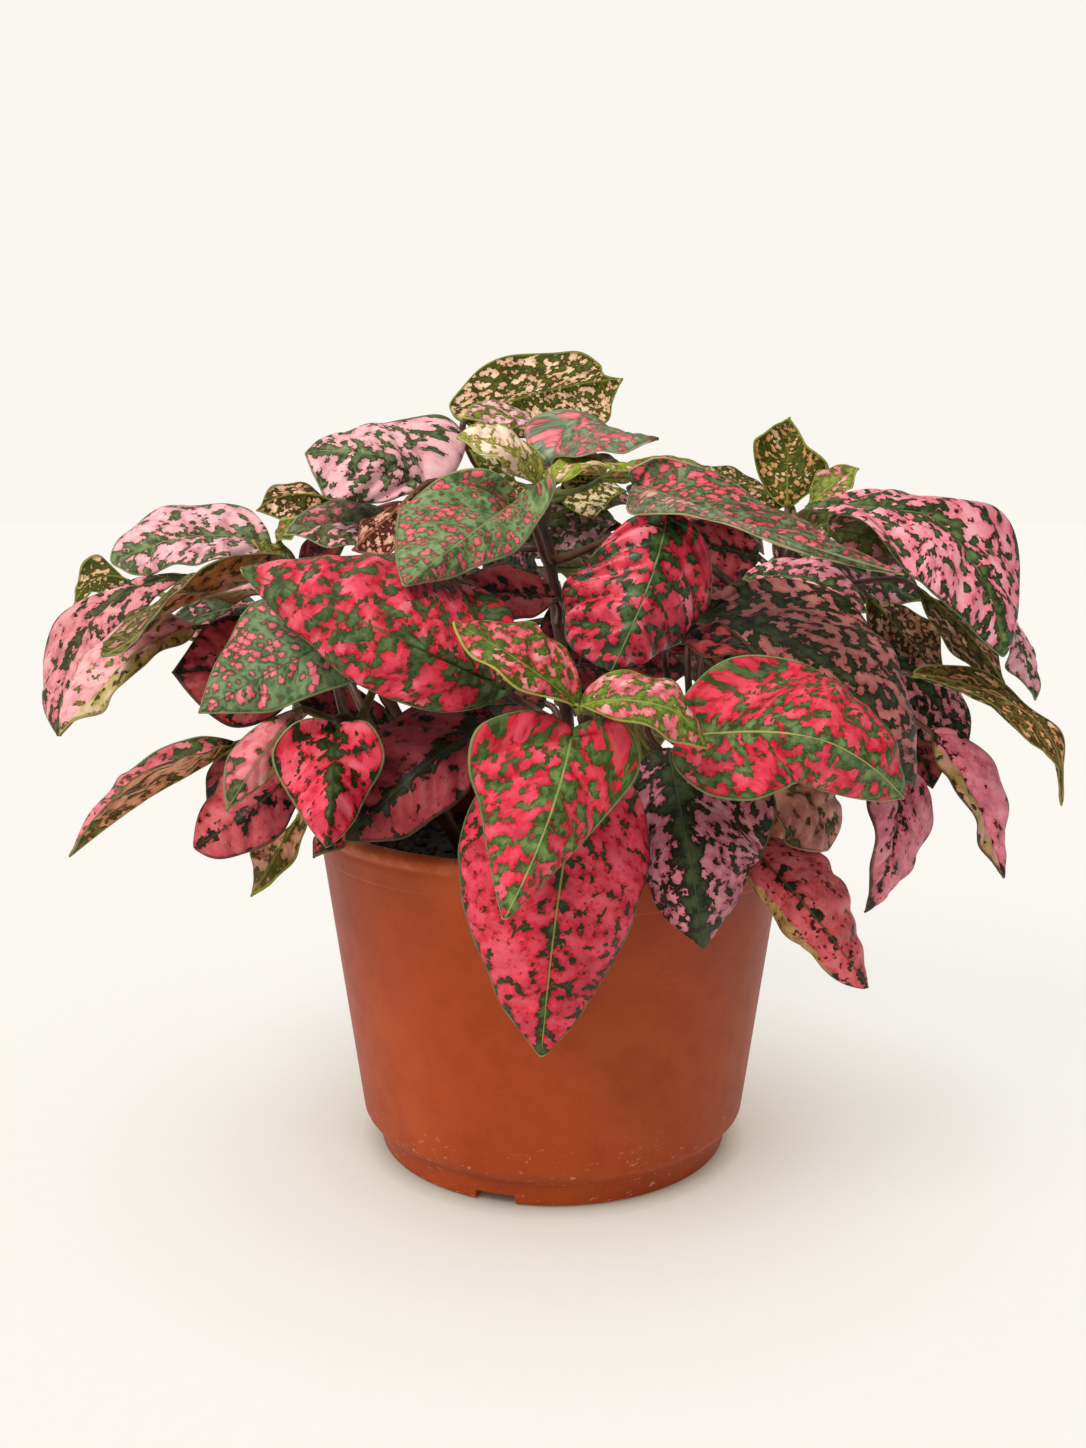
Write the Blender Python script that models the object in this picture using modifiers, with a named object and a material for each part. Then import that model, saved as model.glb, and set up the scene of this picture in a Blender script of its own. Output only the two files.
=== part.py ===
"""Potted polka dot plant (Hypoestes): a bushy plant of eight leafy stems in a
round terracotta-coloured nursery pot with potting soil.

Metres, +Z up.  The origin is the centre of the pot's foot, on the surface that
it stands on; -Y is the front.  The leaf and stem tables are in millimetres.
"""
import math

import bpy
import bmesh
import numpy as np

MM = 0.001

# ---- driving dimensions (mm) ----------------------------------------------
RIM_RADIUS = 60.0          # outermost circle of the flared lip
RIM_TOP = 86.4             # height of the pot
BODY_TOP_RADIUS = 59.3     # wall just under the lip
BODY_FOOT_RADIUS = 49.7    # wall where it turns in to the foot
FOOT_RADIUS = 45.1         # standing ring, outside
FOOT_INNER_RADIUS = 42.2   # standing ring, inside
WALL = 1.6                 # wall and floor thickness
FLOOR_UNDERSIDE = 3.8      # recess under the floor
NOTCH_WIDTH = 9.5          # drainage notches in the standing ring
NOTCH_HEIGHT = 2.4
NOTCH_ANGLES = (252.0, 12.0, 132.0)     # degrees from +X, about Z
HOLE_RADIUS = 3.6          # drainage holes in the floor
HOLE_CIRCLE = 29.0
HOLE_COUNT = 6
SOIL_EDGE = 73.5           # soil level at the wall
SOIL_CROWN = 76.0          # soil level in the middle
FIT_GAP = 0.3              # air between pieces that touch
POT_STEPS = 60
BLADE = 0.55               # leaf thickness
MIDRIB = 0.55              # how far the midrib stands out underneath

COLOURS = {                # colour, roughness
    "pot": ((0.46, 0.155, 0.066), 0.50),
    "soil": ((0.020, 0.013, 0.009), 0.95),
    "stem": ((0.085, 0.040, 0.030), 0.55),
    "red": ((0.60, 0.050, 0.090), 0.48),
    "redgreen": ((0.42, 0.090, 0.090), 0.48),
    "green": ((0.130, 0.210, 0.105), 0.48),
    "greenred": ((0.210, 0.170, 0.110), 0.48),
    "pale": ((0.60, 0.30, 0.34), 0.48),
    "palepink": ((0.80, 0.46, 0.50), 0.48),
    "pink": ((0.70, 0.25, 0.32), 0.48),
    "mauve": ((0.26, 0.075, 0.095), 0.48),
    "dusky": ((0.34, 0.045, 0.060), 0.48),
    "olive": ((0.150, 0.125, 0.022), 0.52),
    "brown": ((0.105, 0.048, 0.022), 0.62),
    "young": ((0.38, 0.36, 0.085), 0.46),
    "youngpink": ((0.74, 0.50, 0.42), 0.46),
}

# ---------------------------------------------------------------------------
# Leaf layout.  All lengths here are millimetres.
# A blade is laid out flat first: x runs along the midrib from the petiole (0)
# to the tip (1), y runs across it as a fraction of the half width, and m is
# where the side vein that ends at (x, y) leaves the midrib.
# ---------------------------------------------------------------------------
OUTLINE = {
    "heart": [(0.000, 0.00, 0.00), (-0.050, 0.16, 0.00), (-0.085, 0.38, 0.01),
              (-0.065, 0.60, 0.02), (0.010, 0.82, 0.04), (0.120, 0.96, 0.08),
              (0.250, 1.00, 0.16), (0.390, 0.93, 0.27), (0.540, 0.76, 0.41),
              (0.690, 0.53, 0.56), (0.820, 0.30, 0.72), (0.925, 0.115, 0.87),
              (1.000, 0.00, 1.00)],
    "ovate": [(0.000, 0.00, 0.00), (0.000, 0.14, 0.005), (0.020, 0.34, 0.01),
              (0.065, 0.58, 0.03), (0.140, 0.80, 0.06), (0.235, 0.94, 0.12),
              (0.350, 1.00, 0.21), (0.480, 0.95, 0.33), (0.610, 0.79, 0.46),
              (0.735, 0.56, 0.60), (0.850, 0.31, 0.75), (0.940, 0.12, 0.88),
              (1.000, 0.00, 1.00)],
    "lance": [(0.000, 0.00, 0.00), (0.020, 0.12, 0.01), (0.060, 0.30, 0.03),
              (0.120, 0.52, 0.06), (0.200, 0.74, 0.11), (0.300, 0.92, 0.18),
              (0.410, 1.00, 0.28), (0.530, 0.95, 0.40), (0.650, 0.78, 0.52),
              (0.765, 0.55, 0.65), (0.870, 0.30, 0.78), (0.950, 0.12, 0.90),
              (1.000, 0.00, 1.00)],
}


def unit(v):
    v = np.asarray(v, float)
    return v / max(1e-12, float(np.linalg.norm(v)))


def spline(points, t):
    """Smooth curve through the points; t runs from 0 to 1 over the whole."""
    p = np.asarray(points, float)
    n = len(p)
    t = np.clip(np.asarray(t, float), 0.0, 1.0) * (n - 1)
    i = np.minimum(t.astype(int), n - 2)
    f = (t - i)[:, None]
    if n == 2:
        return p[i] * (1 - f) + p[i + 1] * f
    tan = np.empty_like(p)
    tan[1:-1] = (p[2:] - p[:-2]) * 0.5
    tan[0] = 2.0 * (p[1] - p[0]) - tan[1]
    tan[-1] = 2.0 * (p[-1] - p[-2]) - tan[-2]
    a, b, ta, tb = p[i], p[i + 1], tan[i], tan[i + 1]
    f2, f3 = f * f, f * f * f
    return ((2 * f3 - 3 * f2 + 1) * a + (f3 - 2 * f2 + f) * ta
            + (-2 * f3 + 3 * f2) * b + (f3 - f2) * tb)


class Rail:
    """A space curve read by arc length, with a frame carried along it."""

    def __init__(self, points, count=49):
        q = spline(points, np.linspace(0.0, 1.0, 8 * count))
        s = np.concatenate([[0.0], np.cumsum(np.linalg.norm(np.diff(q, axis=0), axis=1))])
        self.length = float(s[-1])
        self.s = np.linspace(0.0, self.length, count)
        self.p = np.stack([np.interp(self.s, s, q[:, k]) for k in range(3)], axis=1)
        t = np.gradient(self.p, axis=0)
        self.t = t / np.linalg.norm(t, axis=1)[:, None]
        self.side = None

    def frame_from(self, s0, side):
        k = int(np.argmin(np.abs(self.s - s0)))
        n = len(self.s)
        b = np.zeros((n, 3))
        b[k] = unit(side - self.t[k] * float(np.dot(side, self.t[k])))
        for step in (1, -1):
            i = k
            while 0 <= i + step < n:
                v = b[i] - self.t[i + step] * float(np.dot(b[i], self.t[i + step]))
                b[i + step] = unit(v)
                i += step
        self.side = b

    def at(self, s):
        """Position, tangent and side at arc length s (straight beyond the ends)."""
        s = np.asarray(s, float)
        c = np.clip(s, 0.0, self.length)
        p = np.stack([np.interp(c, self.s, self.p[:, k]) for k in range(3)], axis=-1)
        t = np.stack([np.interp(c, self.s, self.t[:, k]) for k in range(3)], axis=-1)
        t = t / np.linalg.norm(t, axis=-1)[..., None]
        p = p + t * (s - c)[..., None]
        if self.side is None:
            return p, t, None
        b = np.stack([np.interp(c, self.s, self.side[:, k]) for k in range(3)], axis=-1)
        b = b - t * np.sum(b * t, axis=-1)[..., None]
        b = b / np.linalg.norm(b, axis=-1)[..., None]
        return p, t, b

    def nearest(self, q):
        return float(self.s[int(np.argmin(np.linalg.norm(self.p - np.asarray(q, float), axis=1)))])


class Margin:
    """One margin of a blade through given points, from junction to tip, and
    for each point on it the place on the midrib where its side vein starts."""

    def __init__(self, midrib, points):
        self.rail = Rail(points)
        self.v = np.linspace(0.0, 1.0, 61)
        q = self.rail.at(self.v * self.rail.length)[0]
        gap = np.linalg.norm(q[:, None, :] - midrib.p[None, :, :], axis=2)
        s = midrib.s[np.argmin(gap, axis=1)] / midrib.length
        m = np.clip(s - 0.45 * gap.min(axis=1) / midrib.length, 0.0, 1.0)
        m = np.maximum.accumulate(np.maximum(m, 0.10 * self.v))
        for _ in range(8):
            m[1:-1] = 0.25 * m[:-2] + 0.5 * m[1:-1] + 0.25 * m[2:]
            m[0], m[-1] = 0.0, 1.0
        self.m = m


class Blade:
    """A leaf blade hung on its midrib: junction, middle(s), tip, and its
    margins, left and right as seen on its upper face.  A margin is given by
    its widest point alone, or by a list of points from junction to tip."""

    def __init__(self, J, M, T, L, R, shape="ovate", camber=18.0, wave=0.8,
                 waves=2.5, phase=0.0, twist=0.0, tipfold=1.0, basefold=1.0):
        mids = [M] if np.ndim(M) == 1 else list(M)
        self.rail = Rail([J] + mids + [T])
        self.len = self.rail.length
        self.margin = [None, None]
        wide = []
        for k, E in enumerate((L, R)):
            E = np.atleast_2d(np.asarray(E, float))
            if len(E) > 1:
                ends = [np.asarray(J, float)] + list(E) + [np.asarray(T, float)]
                self.margin[k] = Margin(self.rail, ends)
            far = [np.linalg.norm(self.rail.p - e, axis=1).min() for e in E]
            wide.append(E[int(np.argmax(far))])
        L, R = wide
        lo, hi = 0.10 * self.len, 0.62 * self.len
        self.sl = min(max(self.rail.nearest(L), lo), hi)
        self.sr = min(max(self.rail.nearest(R), lo), hi)
        pl, tl, _ = self.rail.at(self.sl)
        pr, tr, _ = self.rail.at(self.sr)
        dl, dr = L - pl, R - pr
        dl = dl - tl * float(np.dot(dl, tl))
        dr = dr - tr * float(np.dot(dr, tr))
        self.rail.frame_from(0.5 * (self.sl + self.sr), unit(dr) - unit(dl))
        self.half = []
        for s, d, sign in ((self.sl, dl, -1.0), (self.sr, dr, 1.0)):
            _, t, b = self.rail.at(s)
            n = np.cross(b, t)
            chord = float(np.linalg.norm(d))
            tilt = math.atan2(float(np.dot(d, n)), sign * float(np.dot(d, b)))
            self.half.append((chord, tilt, math.radians(camber)))
        flat = np.asarray(OUTLINE[shape], float)
        self.flat = flat
        self.xw = float(flat[int(np.argmax(flat[:, 1])), 0])
        self.wave, self.waves, self.phase, self.twist = wave, waves, phase, math.radians(twist)
        self.tipfold, self.basefold = tipfold, basefold

    def outline(self, v, side):
        """Flat outline point (x, y as fractions) and vein root m for v in 0..1."""
        q = spline(self.flat, v)
        s = self.sl if side < 0 else self.sr
        power = min(1.7, max(0.55, math.log(max(0.05, s / self.len)) / math.log(self.xw)))
        x = np.where(q[:, 0] > 0, np.abs(q[:, 0]) ** power, q[:, 0])
        m = np.clip(q[:, 2], 0, 1) ** power
        return np.minimum(x, 1.0), np.clip(q[:, 1], 0, 1.05), m

    def place(self, x, y):
        """Flat (x along as a fraction, y across, -1..1) to a point in space."""
        x = np.asarray(x, float)
        y = np.asarray(y, float)
        p, t, b = self.rail.at(x * self.len)
        n = np.cross(b, t)
        xm = 0.5 * (self.sl + self.sr) / self.len
        if self.twist:
            w = self.twist * (x - xm)
            c, s = np.cos(w)[..., None], np.sin(w)[..., None]
            b, n = b * c + n * s, n * c - b * s
        out = np.empty(np.broadcast(x, y).shape + (3,))
        fold = np.where(x > xm, 1 + (self.tipfold - 1) * (x - xm) / max(0.05, 1 - xm),
                        1 + (self.basefold - 1) * (xm - x) / max(0.05, xm))
        for sign, (chord, tilt, cam) in ((-1.0, self.half[0]), (1.0, self.half[1])):
            a = np.clip(sign * y, 0.0, 1.2)
            if abs(cam) > 1e-3:
                r = chord * np.sin(cam * a) / math.sin(cam)
                ang = tilt * fold + cam * (1.0 - a)
            else:
                r = chord * a
                ang = tilt * fold + 0 * a
            lift = self.wave * a ** 2.2 * np.sin(
                2 * math.pi * self.waves * x + self.phase + (0.9 if sign > 0 else 0.0))
            q = (p + b * (sign * r * np.cos(ang))[..., None]
                 + n * (r * np.sin(ang) + lift)[..., None])
            pick = (y * sign >= 0)[..., None]
            out = np.where(pick, q, out)
        return out

    def surf(self, v, u, s):
        """Point on half s (-1 left, 1 right): v runs along its margin from the
        junction to the tip, u out along a side vein from midrib to margin."""
        v, u = np.broadcast_arrays(np.asarray(v, float), np.asarray(u, float))
        k = 0 if s < 0 else 1
        chord, tilt, cam = self.half[k]
        if self.margin[k] is None:
            x1, y1, m1 = (c.reshape(v.shape) for c in self.outline(v.ravel(), s))
            x = m1 + (x1 - m1) * np.maximum(u, 0.0) ** 1.25
            return self.place(x, s * np.maximum(y1 * u, 1e-6))
        e = self.margin[k]
        vv = np.clip(v, 0.0, 1.0)
        m = np.interp(vv, e.v, e.m)
        b = e.rail.at(vv * e.rail.length)[0]
        p, t, side = self.rail.at(m * self.len)
        n = np.cross(side, t) * math.cos(tilt) - side * (s * math.sin(tilt))
        d = b - p
        size = np.linalg.norm(d, axis=-1)
        lift = (2.0 * math.sin(0.5 * cam) * size * u * (1.0 - u)
                + self.wave * np.minimum(1.0, size / chord) * np.maximum(u, 0.0) ** 2.2 * np.sin(
                    2 * math.pi * self.waves * m + self.phase + (0.9 if s > 0 else 0.0)))
        return p + d * u[..., None] + n * lift[..., None]

    def root(self, v, s):
        """Where on the midrib (0..1) the side vein at v of half s starts."""
        k = 0 if s < 0 else 1
        if self.margin[k] is None:
            return self.outline(np.atleast_1d(v), s)[2]
        return np.interp(np.clip(np.atleast_1d(v), 0, 1), self.margin[k].v, self.margin[k].m)

    def reach(self, v, u, s):
        """Distance in mm from the midrib, measured square to it."""
        k = 0 if s < 0 else 1
        if self.margin[k] is None:
            return self.outline(np.atleast_1d(v), s)[1] * u * self.half[k][0]
        m = self.root(v, s)
        b = self.margin[k].rail.at(np.clip(np.atleast_1d(v), 0, 1) * self.margin[k].rail.length)[0]
        p, t, _ = self.rail.at(m * self.len)
        d = b - p
        return u * np.linalg.norm(d - t * np.sum(d * t, axis=-1)[..., None], axis=-1)

    def face(self, v, u, s):
        """Unit normal of the upper face, averaged over the fold at the midrib."""
        e = 0.012
        u = np.asarray(u, float)

        def one(w, side):
            dv = self.surf(min(v + e, 1.0), w, side) - self.surf(max(v - e, 0.0), w, side)
            du = self.surf(v, w + e, side) - self.surf(v, np.maximum(w - e, 0.0), side)
            n = np.cross(side * du, dv)
            return n / np.maximum(1e-9, np.linalg.norm(n, axis=-1))[..., None]

        n = one(u, s)
        mid = u < e
        if np.any(mid):
            n = np.where(mid[..., None], n + one(u, -s), n)
        return n / np.maximum(1e-9, np.linalg.norm(n, axis=-1))[..., None]


def stalk_path(A, J, toward, drop, out=None):
    """Petiole from its foot A to the junction J, running into the midrib."""
    A, J = np.asarray(A, float), np.asarray(J, float)
    span = float(np.linalg.norm(J - A))
    d0 = unit(J - A) if out is None else unit(out)
    p1 = A + d0 * span * 0.33
    p2 = J - unit(toward) * span * 0.30 - drop
    t = np.linspace(0, 1, 25)[:, None]
    return ((1 - t) ** 3 * A + 3 * (1 - t) ** 2 * t * p1
            + 3 * (1 - t) * t ** 2 * p2 + t ** 3 * J)


def leaf_rings(blade, path, across, stations, thick=0.55, rib=0.55, r0=1.0,
               r1=0.8, stalk_rings=3, edge=0.0, vein=None):
    """Closed rings of 4*across points from the foot of the petiole to the tip:
    over the upper face from the left margin to the right, back underneath."""
    rings = []
    top = np.linspace(-1.0, 1.0, 2 * across + 1)
    low = top[1:-1][::-1]
    p0, t0, b0 = blade.rail.at(0.0)
    n0 = np.cross(b0, t0)
    n_path = len(path)
    tangents = np.gradient(path, axis=0)
    tangents /= np.linalg.norm(tangents, axis=1)[:, None]
    side = [None] * n_path
    side[-1] = unit(b0 - tangents[-1] * float(np.dot(b0, tangents[-1])))
    for i in range(n_path - 2, -1, -1):
        side[i] = unit(side[i + 1] - tangents[i] * float(np.dot(side[i + 1], tangents[i])))
    ang = np.concatenate([math.pi * (1 - (top + 1) / 2), -math.pi * (1 - (low + 1) / 2)])
    for k in range(stalk_rings + 1):
        f = k / stalk_rings
        i = int(round(f * (n_path - 1)))
        r = r0 + (r1 - r0) * f
        up = np.cross(side[i], tangents[i])
        rings.append(path[i] + r * (np.cos(ang)[:, None] * side[i] + 0.85 * np.sin(ang)[:, None] * up))
    for v in stations:
        row = []
        for part, sign in ((top, 1.0), (low, -1.0)):
            q = np.empty((len(part), 3))
            n = np.empty((len(part), 3))
            h = np.empty(len(part))
            for s in (-1.0, 1.0):
                sel = part < 0 if s < 0 else part >= 0
                if not sel.any():
                    continue
                u = np.abs(part[sel])
                m1 = float(blade.root(v, s)[0])
                q[sel] = blade.surf(v, u, s)
                n[sel] = blade.face(v, u, s)
                hh = edge + (0.5 * thick - edge) * (1 - u ** 8) if edge else 0.5 * thick * (1 - u ** 8)
                hv = vein(v, u, s, m1, sign) if vein is not None else 0.0
                if sign < 0:
                    w = blade.reach(v, u, s)
                    hh = hh + rib * (1 - 0.8 * m1) * np.exp(-(w / 1.3) ** 2)
                h[sel] = hh + hv
            row.append(q + n * (sign * h)[:, None])
        rings.append(np.concatenate(row))
    return rings, blade.rail.p[-1]


def loft(rings, tip):
    """Vertices and faces of the closed skin over the rings."""
    k = len(rings[0])
    verts = [tuple(p) for r in rings for p in r] + [tuple(tip)]
    faces = [tuple(range(k - 1, -1, -1))]
    for i in range(len(rings) - 1):
        a, b = i * k, (i + 1) * k
        for j in range(k):
            j2 = (j + 1) % k
            faces.append((a + j, a + j2, b + j2, b + j))
    a, last = (len(rings) - 1) * k, len(verts) - 1
    for j in range(k):
        faces.append((a + j, a + (j + 1) % k, last))
    return verts, faces


# Stems: radius at the soil, radius at the tip, and the way they grow (mm).
STEMS = {
    "centre": (1.9, 1.3, [(1, -2, 64), (4, -6, 95), (2, -10, 128), (-1, -10, 150), (-3, -10, 158), (-2, -9, 166)]),
    "front": (1.9, 1.3, [(8, -22, 64), (12, -38, 88), (12, -58, 108), (8, -74, 117), (5, -84, 123)]),
    "left": (1.8, 1.3, [(-16, -16, 64), (-26, -24, 88), (-38, -36, 106), (-48, -49, 117)]),
    "right": (1.8, 1.3, [(22, -14, 64), (28, -24, 86), (31, -40, 104), (32, -54, 116)]),
    "right_back": (1.8, 1.3, [(20, 12, 64), (34, 15, 96), (50, 18, 130), (62, 21, 150), (66, 22, 161)]),
    "right_low": (1.8, 1.3, [(30, 0, 64), (46, 5, 88), (68, 12, 108), (86, 17, 119)]),
    "left_back": (1.8, 1.3, [(-22, 10, 64), (-36, 13, 98), (-55, 17, 130), (-72, 20, 146)]),
    "back": (1.9, 1.3, [(-8, 20, 64), (-13, 30, 98), (-17, 34, 135), (-17, 29, 160), (-16, 25, 174)]),
}


def leaf(name, stem, foot, shape, kind, J, M, T, L, R, **opt):
    """J junction with the petiole, M midrib, T tip, L and R left and right margin (mm)."""
    return dict(name=name, stem=stem, foot=foot, shape=shape, kind=kind,
                J=J, M=M, T=T, L=L, R=R, opt=opt)


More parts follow.
